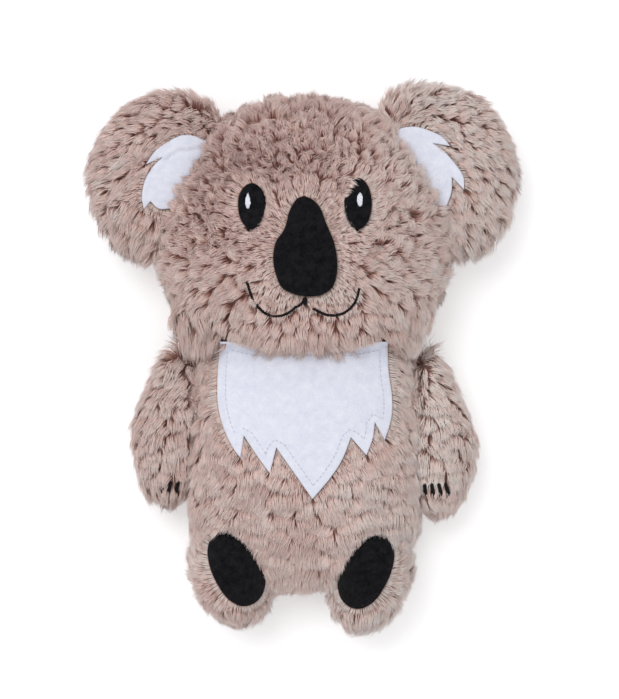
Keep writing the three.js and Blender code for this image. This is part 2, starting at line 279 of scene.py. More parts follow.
def follow(piece, body):
    """An arm's piece is parented to its body's empty; any other piece keeps its place, with its placement
    applied to its mesh.
    """
    side, _, limb = body.partition("_")
    if body in ("torso", "head"):
        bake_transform(piece)
    elif limb == "ear":
        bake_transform(piece)
    elif limb == "leg":
        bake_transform(piece)
    else:
        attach(piece, body)
    return piece


def lay(name, shape, material, slot, node, body):
    """A new piece in the place of a CAD node, which it hides, placed by follow for this body."""
    return follow(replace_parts(new_piece(name, *shape, material, slot), node), body)


# ---------------------------------------------------------------- outlines of the flat pieces

def outline_of(node):
    """The edge of a flat CAD node as seen from the front, anticlockwise."""
    points, triangles = cad_mesh([node])
    _, first, same = np.unique(np.round(points, 3), axis=0, return_index=True, return_inverse=True)
    points, triangles = points[first], np.ravel(same)[triangles]
    at = points[triangles]
    normals = unit(np.cross(at[:, 1] - at[:, 0], at[:, 2] - at[:, 0]))
    following = dict(open_edges(triangles[normals[:, 2] > 0.25].tolist()))
    loops = []
    while following:
        last = next(iter(following))
        loops.append([])
        while last in following:
            loops[-1].append(last)
            last = following.pop(last)
    return points[max(loops, key=len)][:, :2]


def without_straight(loop, least=2.0, shortest=0.05):
    """The loop without the points at which it hardly turns, and how much it turns at the others."""
    while True:
        before, after = loop - np.roll(loop, 1, 0), np.roll(loop, -1, 0) - loop
        turn = np.degrees(np.arctan2(
            before[:, 0] * after[:, 1] - before[:, 1] * after[:, 0], (before * after).sum(1)))
        short = np.linalg.norm(before, axis=1) < shortest
        if not ((np.abs(turn) < least) | short).any():
            return loop, turn
        loop = np.delete(loop, np.argmin(np.where(short, -1, np.abs(turn))), 0)


def curve_through(points, step, closed=False):
    """Points about a step apart on a smooth line through these, without the last of an open line."""
    if closed:
        ends = np.concatenate([points[-1:], points, points[:2]])
    else:
        ends = np.concatenate([[2 * points[0] - points[1]], points, [2 * points[-1] - points[-2]]])
    found = []
    for i in range(1, len(ends) - 2):
        p = ends[i - 1:i + 3]
        apart = np.maximum(np.linalg.norm(np.diff(p, axis=0), axis=1), 1e-6)
        t = np.concatenate([[0], np.cumsum(apart ** 0.5)])
        count = max(1, int(round(np.linalg.norm(p[2] - p[1]) / step)))
        for u in t[1] + (t[2] - t[1]) * np.arange(count) / count:
            a = [((t[k + 1] - u) * p[k] + (u - t[k]) * p[k + 1]) / (t[k + 1] - t[k]) for k in range(3)]
            b = [((t[k + 2] - u) * a[k] + (u - t[k]) * a[k + 1]) / (t[k + 2] - t[k]) for k in range(2)]
            found.append(((t[2] - u) * b[0] + (u - t[1]) * b[1]) / (t[2] - t[1]))
    return found


def rounded(loop, step=0.9, sharp=46.0):
    """The outline with smooth curves between its sharp corners."""
    loop, turn = without_straight(loop)
    corner = np.flatnonzero(np.abs(turn) > sharp)
    if not len(corner):
        return np.array(curve_through(loop, step, closed=True))
    loop = np.roll(loop, -corner[0], 0)
    corner = list(corner - corner[0]) + [len(loop)]
    closed = np.concatenate([loop, loop[:1]])
    found = []
    for a, b in zip(corner, corner[1:]):
        found += curve_through(closed[a:b + 1], step)
    return np.array(found)


class Edge:
    """The outline of a flat piece, and how deep points lie inside it."""

    AT_ONCE = 2000  # points, so that the tables stay small

    def __init__(self, outline, margin=16.0):
        self.outline, self.margin = outline, margin
        self.low, self.high = outline.min(0) - margin, outline.max(0) + margin

    def near(self, points):
        return ((points[:, :2] > self.low) & (points[:, :2] < self.high)).all(1)

    def inwards(self):
        """The way into the outline at each of its own points."""
        tangent = unit(np.roll(self.outline, -1, 0) - np.roll(self.outline, 1, 0))
        return np.stack([-tangent[:, 1], tangent[:, 0]], 1)

    def depth(self, points):
        """Depths, less than zero outside, and the way out of the outline at each point."""
        depths = np.full(len(points), -self.margin)
        out = np.zeros((len(points), 2))
        a, b = self.outline, np.roll(self.outline, -1, 0)
        way = b - a
        long = np.maximum((way ** 2).sum(1), 1e-12)
        rise = np.where(np.abs(way[:, 1]) < 1e-12, 1e-12, way[:, 1])
        picked = np.flatnonzero(self.near(points))
        for i in range(0, len(picked), self.AT_ONCE):
            some = picked[i:i + self.AT_ONCE]
            p = points[some, None, :2]
            t = np.clip(((p - a) * way).sum(2) / long, 0, 1)
            apart = p - (a + t[..., None] * way)
            gap = np.linalg.norm(apart, axis=2)
            nearest = np.arange(len(some)), gap.argmin(1)
            crosses = (a[:, 1] > p[..., 1]) != (b[:, 1] > p[..., 1])
            at = a[:, 0] + (p[..., 1] - a[:, 1]) / rise * way[:, 0]
            inside = (crosses & (p[..., 0] < at)).sum(1) % 2 == 1
            sign = np.where(inside, 1.0, -1.0)
            depths[some] = sign * gap[nearest]
            out[some] = unit(apart[nearest]) * -sign[:, None]
        return depths, out


# ---------------------------------------------------------------- materials

def linear(red, green, blue):
    """A colour given as it looks on a screen, from 0 to 255."""
    def one(value):
        value /= 255
        return value / 12.92 if value <= 0.04045 else ((value + 0.055) / 1.055) ** 2.4
    return (one(red), one(green), one(blue), 1.0)


def feed(tree, node, inputs):
    """Gives each of these inputs of a shader node its value, or a link from another node."""
    for label, given in inputs.items():
        if isinstance(given, bpy.types.NodeSocket):
            tree.links.new(given, node.inputs[label])
        else:
            node.inputs[label].default_value = given


def add_node(tree, kind, inputs=None, **settings):
    """A new shader node with these settings and inputs."""
    node = tree.nodes.new(f"ShaderNode{kind}")
    for name, value in settings.items():
        setattr(node, name, value)
    feed(tree, node, inputs or {})
    return node


def ramp_of(tree, value, stops):
    """The colour that a value has between these places and colours."""
    ramp = add_node(tree, "ValToRGB", {"Fac": value})
    marks = ramp.color_ramp.elements
    marks[0].position, marks[0].color = stops[0]
    marks[1].position, marks[1].color = stops[-1]
    for place, colour in stops[1:-1]:
        marks.new(place).color = colour
    return ramp.outputs["Color"]


def pattern_group(name, sizes):
    """A node group with named sizes, in millimetres. It gives a Mottle for colour and a Height for bump."""
    group = bpy.data.node_groups.new(name, "ShaderNodeTree")
    for label, value in sizes.items():
        socket = group.interface.new_socket(label, in_out="INPUT", socket_type="NodeSocketFloat")
        socket.default_value = value
    for label in ("Mottle", "Height"):
        group.interface.new_socket(label, in_out="OUTPUT", socket_type="NodeSocketFloat")
    return group, group.nodes.new("NodeGroupInput"), group.nodes.new("NodeGroupOutput")


def texture_of(group, kind, size, per_size, detail, distortion, **settings):
    """A texture on the object's own places, with features of the given size."""
    place = add_node(group, "TexCoord").outputs["Object"]
    scale = add_node(group, "Math", {0: per_size / MM, 1: size}, operation="DIVIDE").outputs[0]
    inputs = {"Vector": place, "Scale": scale, "Detail": detail, "Distortion": distortion}
    return add_node(group, kind, inputs, **settings).outputs["Fac"]


def felted_fibres():
    """Short matted fibres."""
    group, given, made = pattern_group("felted fibres", {"Fibre size": 0.5, "Cloud size": 9.0})
    fine = texture_of(group, "TexNoise", given.outputs["Fibre size"], 1.0, 3.0, 1.6)
    cloud = texture_of(group, "TexNoise", given.outputs["Cloud size"], 1.0, 2.0, 0.3)
    mixed = add_node(group, "Mix", {"Factor": 0.45, 2: fine, 3: cloud})
    feed(group, made, {"Mottle": mixed.outputs[0], "Height": fine})
    return group


def twisted_yarn():
    """The slanted shine of twisted thread."""
    group, given, made = pattern_group("twisted yarn", {"Pitch": 0.6})
    wave = texture_of(group, "TexWave", given.outputs["Pitch"], 0.3, 2.0, 1.5, bands_direction="DIAGONAL")
    feed(group, made, {"Mottle": wave, "Height": wave})
    return group


FELTED, TWISTED = felted_fibres(), twisted_yarn()


def empty_material(name, roughness, sheen=0.0, sheen_roughness=0.5, specular=0.25):
    """A new material with its tree and shader, whose plain numbers are set on the shader itself."""
    material = bpy.data.materials.new(name)
    material.use_nodes = True
    tree = material.node_tree
    shader = tree.nodes["Principled BSDF"]
    feed(tree, shader, {
        "Roughness": roughness, "Sheen Weight": sheen, "Sheen Roughness": sheen_roughness,
        "Specular IOR Level": specular})
    return material, tree, shader


def patterned(name, dark, light, group, sizes, roughness, bump, height, spread=0.2, **finish):
    """A cloth or thread whose colour and bump come from a group. Its bumps are so many millimetres high."""
    material, tree, shader = empty_material(name, roughness, **finish)
    pattern = add_node(tree, "Group", sizes, node_tree=group)
    colour = ramp_of(tree, pattern.outputs["Mottle"], [(0.5 - spread, dark), (0.5 + spread, light)])
    raised = add_node(tree, "Bump", {
        "Strength": bump, "Distance": height * MM, "Height": pattern.outputs["Height"]})
    feed(tree, shader, {"Base Color": colour, "Normal": raised.outputs["Normal"]})
    return material


PILE_MAP = "OFBake"  # across it runs the shade of a strand, and up it the way from root to tip
PILE_SHADES = [
    (0.0, linear(190, 164, 162)), (0.3, linear(229, 200, 194)), (0.5, linear(245, 219, 211)),
    (0.7, linear(255, 231, 225)), (1.0, linear(255, 246, 241))]
# Darkness from root to tip: partly the pile's own darker roots, partly painted shade for the gaps between
# tufts
PILE_DARK_ROOTS_AND_SHADE = [
    (0.0, linear(122, 78, 68)), (0.25, linear(184, 146, 136)), (0.5, linear(242, 232, 228)),
    (0.8, linear(255, 255, 255))]


def pile_material():
    """Plush strands: dark at the root and pale at the tip, each in its own shade. The dark root is partly the
    pile's own darker roots and partly painted shade in the gaps between tufts.
    """
    material, tree, shader = empty_material("plush_pile", 0.85, sheen=0.18, sheen_roughness=0.45)
    read = add_node(tree, "UVMap", uv_map=PILE_MAP)
    split = add_node(tree, "SeparateXYZ", {"Vector": read.outputs["UV"]})
    shade = ramp_of(tree, split.outputs["X"], PILE_SHADES)
    roots_and_shade = ramp_of(tree, split.outputs["Y"], PILE_DARK_ROOTS_AND_SHADE)
    mixed = add_node(tree, "Mix", {0: 1.0, 6: shade, 7: roots_and_shade}, data_type="RGBA", blend_type="MULTIPLY")
    feed(tree, shader, {"Base Color": mixed.outputs[2]})
    return material


thread = partial(patterned, group=TWISTED, sizes={"Pitch": 0.7}, bump=0.5, height=0.1)
PILE = pile_material()
BACKING = patterned(
    "plush_backing", linear(104, 80, 74), linear(142, 116, 108), FELTED,
    {"Fibre size": 0.9, "Cloud size": 7.0}, roughness=0.95, bump=0.8, height=0.6)
WHITE_FELT = patterned(
    "white_felt", linear(218, 221, 238), linear(242, 244, 254), FELTED,
    {"Fibre size": 0.9, "Cloud size": 5.0}, roughness=0.95, bump=0.5, height=0.3, sheen=0.15)
BLACK_FELT = patterned(
    "black_felt", linear(3, 3, 5), linear(34, 34, 37), FELTED,
    {"Fibre size": 1.1, "Cloud size": 4.0}, roughness=0.95, bump=1.0, height=0.7, spread=0.16, sheen=0.02,
    specular=0.08)
FILLING = patterned(
    "fibre_filling", linear(214, 210, 202), linear(245, 243, 238), FELTED,
    {"Fibre size": 1.6, "Cloud size": 14.0}, roughness=0.97, bump=0.9, height=1.2)
BLACK_THREAD = thread("black_thread", linear(8, 7, 8), linear(30, 27, 29), roughness=0.7, specular=0.15)
# The seam's white thread is painted grey: painted shade for the shadows at its needle holes
SHADED_SEAM_THREAD = thread("pale_grey_thread", linear(192, 194, 208), linear(220, 222, 234), roughness=0.7)
WHITE_THREAD = thread("white_thread", linear(218, 220, 234), linear(250, 250, 255), roughness=0.6, sheen=0.1)


# ---------------------------------------------------------------- the stuffed forms

LIMBS = [f"{side}_{limb}" for limb in ("ear", "arm", "leg") for side in SIDES]
# The bodies that each stuffed form is made of
FORM_BODIES = {"body": ["torso", "head"], **{name: [name] for name in LIMBS}}


def stuffed_form(names, voxel):
    """The outside of a stuffed form, with the soft unevenness of its filling."""
    parts = ("front_panel", "back_panel", "stuffing")
    form = closed_form([f"{name}_{part}" for name in names for part in parts], voxel)
    uneven = 0.9 * drift(form.points, 34, 3.0) + 0.5 * drift(form.points, 15, 8.0)
    above = step_between(1.0, 12.0, form.points[:, 2])
    return form.moved(uneven * above)


BODY = stuffed_form(["torso", "head"], 2.4)
FORMS = {name: stuffed_form([name], 1.9) for name in LIMBS}


def form_of(body):
    return FORMS.get(body, BODY)


# ---------------------------------------------------------------- flat felt pieces

# A felt's body, its thickness, how far its middle swells, how uneven it lies, and how deep pile may reach
# over its edge
Felt = namedtuple("Felt", "body thickness swell uneven reach")
FELTS = {
    "chest_bib": Felt("torso", 1.5, 0.0, 0.6, 0.5),
    "left_inner_ear_felt": Felt("left_ear", 1.5, 0.0, 0.5, 0.4),
    "right_inner_ear_felt": Felt("right_ear", 1.5, 0.0, 0.4, 0.4),
    "nose": Felt("head", 2.5, 1.6, 0.3, 1.0),
    "left_eye": Felt("head", 1.5, 0.8, 0.1, 0.6),
    "right_eye": Felt("head", 1.5, 0.8, 0.1, 1.1),
    "left_foot_pad": Felt("left_leg", 1.5, 0.6, 0.3, 1.4),
    "right_foot_pad": Felt("right_leg", 1.5, 0.6, 0.3, 1.4),
}
# The small point under each eye: how far to the side, and how far down
EYE_POINTS = {"left_eye": (-2.0, 2.6), "right_eye": (-0.4, 1.8)}
LEFT_EYE_LOWER = 3.1  # the top of the left eye lies this much lower than its solid's
NOSE_SLIMMER = 0.13  # the nose's upper half is slimmer than its solid's by this share
# How far each sole's felt is shifted on its foot, and how far the inner side of it swells out
SOLE_SHAPES = {"left_foot_pad": ((0.6, 2.4), 2.2), "right_foot_pad": ((-0.3, 3.4), -1.4)}
BIB_RISE = 3.4  # the bib's upper corners reach this much further up, under the chin's pile


def felt_outline(name):
    """The outline of a felt, with the small shapes that its solid leaves out."""
    outline = rounded(outline_of(name))
    low, high = outline.min(0), outline.max(0)
    mid = (low + high) / 2
    if name in SOLE_SHAPES:
        shift, swell = SOLE_SHAPES[name]
        inner = step_between(0, 10, (outline[:, 0] - mid[0]) * np.sign(swell))
        outline[:, 0] += swell * inner * np.exp(-((outline[:, 1] - mid[1] + 5) / 15) ** 2)
        outline += shift
    if name == "nose":
        upper = step_between(mid[1] + 2, mid[1] + 18, outline[:, 1])
        outline[:, 0] -= NOSE_SLIMMER * (outline[:, 0] - mid[0]) * upper
    if name == "left_eye":
        outline[:, 1] -= LEFT_EYE_LOWER * step_between(mid[1], high[1], outline[:, 1])
    if name in EYE_POINTS:
        aside, down = EYE_POINTS[name]
        near = np.exp(-((outline[:, 0] - mid[0] - aside) / 0.85) ** 2)
        outline[:, 1] -= down * near * (outline[:, 1] < low[1] + 3)
    if name == "chest_bib":
        aside = step_between(26, 46, np.abs(outline[:, 0] - mid[0]))
        outline[:, 1] += BIB_RISE * aside * step_between(high[1] - 8, high[1], outline[:, 1])
    return outline


EDGES = {name: Edge(felt_outline(name)) for name in FELTS}
STITCHED = ["left_mouth_thread", "right_mouth_thread", "mouth_knot"]
STITCHED += [f"{side}_claw_{i}" for side in SIDES for i in range(1, 5)]
STITCHED_EDGES = {name: Edge(outline_of(name), 10.0) for name in STITCHED}
PIECE_LIFT = 0.3  # a flat piece lies this far above the form
SUNK = 0.3  # the back of a felt reaches this far into it
# A line across the left ear's felt, where it folds down
FOLD = np.array([(-81.5, 119.0), (-75.0, 124.0), (-64.5, 125.2), (-54.0, 126.5)])


def fold_height(points):
    """The dent below the fold in the left ear's felt, and the low ridge above it."""
    below = np.interp(points[:, 0], FOLD[:, 0], FOLD[:, 1]) - points[:, 1]
    dent = -1.1 * np.exp(-below / 3.5) * step_between(0, 0.5, below)
    return np.where(below > 0, dent, 0.5 * np.exp(below / 2.0))


def felt_heights(name, depths, points):
    """How high the front of a felt stands over the form, rounded off along its edge."""
    felt = FELTS[name]
    rim = np.clip(depths / 0.7, 0, 1)
    edge = 0.5 + 0.5 * np.sqrt(1 - (1 - rim) ** 2)
    full = 1 - (1 - np.clip(depths / 8, 0, 1)) ** 2
    flat = np.column_stack([points, np.zeros(len(points))])
    waves = felt.uneven * (0.7 * drift(flat, 19, 5.0) + 0.3 * drift(flat, 7, 2.0)) * np.clip(depths / 4, 0, 1)
    if name == "left_inner_ear_felt":
        waves += fold_height(points)
    return PIECE_LIFT + felt.thickness * edge + felt.swell * full + waves


def bed_of(name, x, y):
    """The height of what a felt lies on at one point: its form, and for a sole also the body."""
    under = form_of(FELTS[name].body).height_at(x, y)
    return max(under, BODY.height_at(x, y)) if name in SOLE_SHAPES and abs(x - CENTRE_X) < 60 else under


def felt_top(name, x, y):
    """The height of a felt's front at one point, or of its rim beside it."""
    at = np.array([[x, y]])
    depths = np.maximum(EDGES[name].depth(at)[0], 0)
    return bed_of(name, x, y) + felt_heights(name, depths, at)[0]


def felt_piece(name, spacing=1.5):
    """The points and faces of a felt that lies on its form."""
    edge = EDGES[name]
    outline, inwards = edge.outline, edge.inwards()
    rng = np.random.default_rng(SEED + len(outline))
    low, high = outline.min(0), outline.max(0)
    across, up = np.meshgrid(np.arange(low[0], high[0], spacing), np.arange(low[1], high[1], spacing * 0.87))
    across = across + (np.arange(len(up)) % 2)[:, None] * spacing / 2
    grid = np.stack([across.ravel(), up.ravel()], 1)
    grid += rng.uniform(-0.18, 0.18, grid.shape) * spacing
    rings = [(outline + inwards * deep, deep) for deep in (0.25, 0.7)]
    inner = [ring[edge.depth(ring)[0] > 0.85 * deep] for ring, deep in rings]
    inner.append(grid[edge.depth(grid)[0] > 0.75 + 0.3 * spacing])
    points = np.concatenate([outline] + inner)
    loop = list(range(len(outline)))
    ends = [(i, (i + 1) % len(loop)) for i in loop]
    made = delaunay_2d_cdt([Vector(p) for p in points], ends, [loop], 1, 1e-5)
    flat, triangles = np.array([tuple(p) for p in made[0]]), [list(t) for t in made[2]]
    depths = np.maximum(edge.depth(flat)[0], 0)
    base = np.array([bed_of(name, *p) for p in flat])
    top = base + felt_heights(name, depths, flat)
    return sheet(np.column_stack([flat, top]), np.column_stack([flat, base - SUNK]), triangles)


def lay_felt(name, node, material, slot):
    lay(name, felt_piece(node), material, slot, node, FELTS[node].body)


lay_felt("chest_bib_felt", "chest_bib", WHITE_FELT, "white_felt")
lay_felt("nose_felt", "nose", BLACK_FELT, "black_felt")
for side in SIDES:
    lay_felt(f"{side}_ear_lining", f"{side}_inner_ear_felt", WHITE_FELT, "white_felt")
    lay_felt(f"{side}_eye_felt", f"{side}_eye", BLACK_FELT, "black_felt")
    lay_felt(f"{side}_sole_felt", f"{side}_foot_pad", BLACK_FELT, "black_felt")


# ---------------------------------------------------------------- threads

ODD_WAY = [0.13, 0.21, 0.97]  # no thread runs along this


def tube(path, radius, sides=7, ends=3):
    """A round thread along a path, drawn in to a rounded end at both ends."""
    path = np.asarray(path, float)
    way = unit(np.gradient(path, axis=0))
    flat = flat_to(way, np.tile(ODD_WAY, (len(path), 1)))
    other = np.cross(way, flat)
    angles = 2 * math.pi * np.arange(sides) / sides
    ring = flat[:, None] * np.cos(angles)[None, :, None] + other[:, None] * np.sin(angles)[None, :, None]
    caps = np.sin(np.linspace(0, math.pi / 2, ends + 1)[1:])
    full = np.ones(len(path))
    full[:ends] = np.minimum(full[:ends], caps[:len(full[:ends])])
    full[-ends:] = np.minimum(full[-ends:], caps[::-1][-len(full[-ends:]):])
    rings = path[:, None] + ring * (np.reshape(radius, (-1, 1)) * full[:, None])[:, None]
    points = np.concatenate([rings.reshape(-1, 3), path[:1] - way[:1] * 0.1, path[-1:] + way[-1:] * 0.1])
    faces = []
    for i in range(len(path) - 1):
        for k in range(sides):
            a, b = i * sides + k, i * sides + (k + 1) % sides
            faces.append([a, b, b + sides, a + sides])
    first, last = len(points) - 2, len(points) - 1
    start = (len(path) - 1) * sides
    for k in range(sides):
        faces.append([first, (k + 1) % sides, k])
        faces.append([last, start + k, start + (k + 1) % sides])
    return points, faces


def gathered_mesh(parts):
    """Several points-and-faces as one."""
    points, faces, start = [], [], 0
    for some, ends in parts:
        points.append(some)
        faces += [[i + start for i in f] for f in ends]
        start += len(some)
    return np.concatenate(points), faces


def middle_line(outline, count):
    """The line down the middle of a narrow band's outline, from one end to the other."""
    far = np.linalg.norm(outline - outline.mean(0), axis=1).argmax()
    loop = np.roll(outline, -far, 0)
    loop = np.concatenate([loop, loop[:1]])
    run = lengths_along(loop)

    def at(lengths):
        return np.stack([np.interp(lengths, run, loop[:, k]) for k in (0, 1)], 1)

    shares = np.linspace(0.02, 0.98, count) * run[-1] / 2
    return (at(shares) + at(run[-1] - shares)) / 2


PLY_RADIUS = 0.42
THREAD_TWIST = 3.4  # the length of one turn of the two plies


def plied_thread(line, lift=0.95):
    """Two plies twisted round each other along a line on the face."""
    dense = np.array(curve_through(line, 0.3))
    heights = np.array([BODY.height_at(*p) for p in dense]) + PIECE_LIFT + lift
    path = np.column_stack([dense, heights])
    way = unit(np.gradient(path, axis=0))
    over = flat_to(way, np.tile([0.0, 0.0, 1.0], (len(path), 1)))
    beside = np.cross(way, over)
    run = lengths_along(path)
    parts = []
    for ply in range(2):
        angle = 2 * math.pi * run / THREAD_TWIST + ply * math.pi
        shift = over * np.sin(angle)[:, None] * 0.28 + beside * np.cos(angle)[:, None] * 0.5
        parts.append(tube(path + shift, PLY_RADIUS))
    return gathered_mesh(parts)


def stitch(flat, form, lift, radius):
    """A short thread over these places, lifted so far above what it lies on."""
    top = np.array([form(*p) for p in flat]) + lift
    return tube(np.column_stack([flat, top]), radius, 6, 2)


def satin_stitches(outline, form, way, pitch, radius, lift):
    """Threads laid side by side until they fill an outline, each from edge to edge."""
    way = np.asarray(way, float)
    beside = np.array([way[1], -way[0]])
    edge = Edge(outline)
    across = outline @ beside
    parts = []
    for place in np.arange(across.min() + pitch / 2, across.max(), pitch):
        spread = np.linspace((outline @ way).min(), (outline @ way).max(), 60)
        line = beside * place + way * spread[:, None]
        inside = line[edge.depth(line)[0] > 0]
        if len(inside) < 4:
            continue
        ends = np.linspace(0, 1, 7)[:, None]
        flat = inside[0] * (1 - ends) + inside[-1] * ends
        parts.append(stitch(flat, form, lift + 0.25 * np.sin(math.pi * ends[:, 0]), radius))
    return gathered_mesh(parts)


for side in SIDES:
    node = f"{side}_mouth_thread"
    line = middle_line(outline_of(node), 24)
    if side == "left":
        line = line if line[:, 0].argmax() == len(line) - 1 else line[::-1]
        end = middle("mouth_knot")[:2] + [-0.5, 0.2]
        line = np.concatenate([line, [(line[-1] + end) / 2 + [0.1, -0.3], end]])
    lay(f"{side}_mouth_stitching", plied_thread(line), BLACK_THREAD, "black_thread", node, "head")

stitches = satin_stitches(
    outline_of("mouth_knot"), BODY.height_at, way=(0.25, 0.97), pitch=0.75, radius=0.5, lift=PIECE_LIFT + 0.5)
lay("mouth_knot_stitching", stitches, BLACK_THREAD, "black_thread", "mouth_knot", "head")


CLAW_SLANT = 0.22  # the claws' lower ends lie this much further out
# How slim each highlight is, how far its point reaches up, and where it lies on its mark
HIGHLIGHTS = {"left": (0.72, 1.8, (-0.1, -1.7)), "right": (0.84, 0.3, (-1.0, -0.4))}


def oval(node, count):
    """The middle of a node, and the directions and half sizes of an oval round it."""
    low, high = corners(node)
    turn = np.linspace(0, 2 * math.pi, count, endpoint=False)
    return middle(node)[:2], turn, (high - low)[:2] / 2


def highlight_outline(side):
    """An upright oval that ends in a point at the top."""
    at, turn, half = oval(f"{side}_eye_highlight", 28)
    slim, point_up, shift = HIGHLIGHTS[side]
    loop = np.stack([np.cos(turn) * (half[0] * slim), np.sin(turn) * half[1]], 1)
    point = np.exp(-((turn - math.pi / 2) / 0.42) ** 2)
    loop[:, 0] *= 1 - 0.55 * point
    loop[:, 1] += point_up * point
    return loop + at + shift


def claw_outline(node, slant):
    """A rounded stroke that narrows and leans outwards towards its lower end."""
    at, turn, half = oval(node, 24)
    loop = np.stack([np.cos(turn) * half[0] * (1 + 0.3 * np.sin(turn)), np.sin(turn) * half[1] * 1.15], 1)
    loop[:, 0] -= slant * loop[:, 1]
    return loop + at


for side in SIDES:
    node = f"{side}_eye_highlight"
    stitches = satin_stitches(
        highlight_outline(side), partial(felt_top, f"{side}_eye"), way=(0.06, 0.998), pitch=0.52, radius=0.34,
        lift=0.12)
    lay(f"{node}_stitching", stitches, WHITE_THREAD, "white_thread", node, "head")
    arm = f"{side}_arm"
    for i in range(1, 5):
        node = f"{side}_claw_{i}"
        slant = CLAW_SLANT * SIDES[side] + 0.05 * (i - 2.5)
        way = np.array([-slant, 1.0]) / math.hypot(slant, 1.0)
        stitches = satin_stitches(
            claw_outline(node, slant), FORMS[arm].height_at, way, pitch=0.66, radius=0.5,
            lift=PIECE_LIFT + 1.1)
        lay(f"{node}_stitching", stitches, BLACK_THREAD, "black_thread", node, arm)


# The stitches of the bib's seam: from one to the next, how long, how far inside its edge, and how thick
STITCH_PITCH, STITCH_LENGTH, STITCH_INSET, STITCH_RADIUS = 2.8, 2.0, 5.0, 0.26


def bib_seam():
    """The dashes of thread that run along the bib, inside its edge."""
    edge = EDGES["chest_bib"]
    line = edge.outline + STITCH_INSET * edge.inwards()
    kept = edge.depth(line)[0] > 0.93 * STITCH_INSET
    start = np.flatnonzero(~kept)[0]
    line, kept = np.roll(line, -start, 0), np.roll(kept, -start)
    runs = np.split(np.arange(len(line)), np.flatnonzero(np.diff(kept.astype(int))) + 1)
    parts = []
    for run in (r for r in runs if kept[r[0]] and len(r) > 3):
        at = line[run]
        length = lengths_along(at)
        for begin in np.arange(0, length[-1] - STITCH_LENGTH, STITCH_PITCH):
            places = np.linspace(begin, begin + STITCH_LENGTH, 7)
            flat = np.stack([np.interp(places, length, at[:, k]) for k in (0, 1)], 1)
            lift = -0.15 + 0.32 * np.sin(math.pi * np.linspace(0, 1, 7))
            parts.append(stitch(flat, partial(felt_top, "chest_bib"), lift, STITCH_RADIUS))
    return gathered_mesh(parts)


follow(new_piece("chest_bib_seam", *bib_seam(), SHADED_SEAM_THREAD, "white_thread"), "torso")


# ---------------------------------------------------------------- covers and filling

COVER_THICKNESS = 1.2
PILE_FOOT = 2.2  # the backing cloth lies this far inside the form


def backing_of(body):
    """The backing cloth's outside: the form drawn in, but not under what is sewn on it."""
    form = form_of(body)
    under = np.zeros(len(form.points))
    front = form.normals[:, 2] > 0
    for name, edge in EDGES.items():
        if form_of(FELTS[name].body) is form:
            depths = edge.depth(form.points)[0]
            under = np.maximum(under, step_between(2.5, 6, depths) * front)
    resting = step_between(1.0, 8.0, form.points[:, 2])
    return form.moved(-PILE_FOOT * (1 - under) * (0.25 + 0.75 * resting))


BACKINGS = {bodies[0]: backing_of(bodies[0]) for bodies in FORM_BODIES.values()}
BACKINGS["head"] = BACKINGS["torso"]


def cut_part(surface, planes):
    """The part of a surface in front of all these planes, as a cloth with thickness."""
    mesh = bmesh.new()
    ends = [mesh.verts.new(p) for p in surface.points.tolist()]
    for face in surface.faces.tolist():
        mesh.faces.new([ends[i] for i in face])
    for at, way in planes:
        bmesh.ops.bisect_plane(
            mesh, geom=mesh.verts[:] + mesh.edges[:] + mesh.faces[:], dist=1e-4,
            plane_co=at, plane_no=way, clear_inner=True)
    mesh.verts.index_update()
    mesh.normal_update()
    outer = np.array([v.co[:] for v in mesh.verts])
    inner = outer - COVER_THICKNESS * np.array([v.normal[:] for v in mesh.verts])
    faces = [[v.index for v in f.verts] for f in mesh.faces]
    mesh.free()
    return sheet(outer, inner, faces)


SEAM_Z = {body: corners(f"{body}_back_panel")[1][2] + 0.15 for body in ["torso", "head"] + LIMBS}
for body, seam_z in SEAM_Z.items():
    for part, way in (("front", 1), ("back", -1)):
        planes = [((0, 0, seam_z), (0, 0, way))]
        if body in ("torso", "head"):
            planes.append(((0, NECK_Y, 0), (0, 1 if body == "head" else -1, 0)))
        cloth = cut_part(BACKINGS[body], planes)
        lay(f"{body}_{part}_cover", cloth, BACKING, "plush", f"{body}_{part}_panel", body)


def filling(name, bodies):
    """Loose fibre that fills a cover."""
    form = form_of(bodies[0])
    lumps = 0.8 * drift(form.points, 9, 1.0) + 0.4 * drift(form.points, 4, 6.0)
    inside = form.drawn_in(PILE_FOOT + COVER_THICKNESS + 2.6 + lumps)
    piece = new_piece(name, inside.points, inside.faces, FILLING, "fibre_fill")
    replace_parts(piece, *[f"{body}_stuffing" for body in bodies])
    follow(piece, bodies[0])


for name, bodies in FORM_BODIES.items():
    filling(f"{name}_filling", bodies)


# ---------------------------------------------------------------- what the pile does

class Fields:
    """What the pile does at each root.

    It lies along the flow, in tufts that are so wide across it and so long along it, stand to a height and
    overlap the next ones. They gather towards their middle, wander off the flow and curl to the side.
    Lengths are in millimetres, angles in radians, and shade makes a strand paler.
    """

    def __init__(self, flow, **values):
        self.flow = flow
        for name, value in values.items():
            setattr(self, name, np.zeros(len(flow)) + value)


def in_plane(x, y):
    return np.stack([x, y, np.zeros_like(x)], 1)


def blotches(at):
    """Slow differences in shade: greyer at the top left, pinker towards the feet, and paler at the sides,
    which is painted light.
    """
    grey = step_between(20, 150, at[:, 1]) * step_between(60, -90, at[:, 0])
    pink = step_between(-20, -140, at[:, 1])
    # Painted light: the right side, and less so the far left, are made paler as if more light fell on them
    pale = step_between(-5, 75, at[:, 0]) + 0.45 * step_between(-55, -95, at[:, 0])
    return 0.05 - 0.14 * grey + 0.1 * pink + 0.28 * pale + 0.12 * drift(at, 30, 4.0)


HALF_BELLY = 67.0


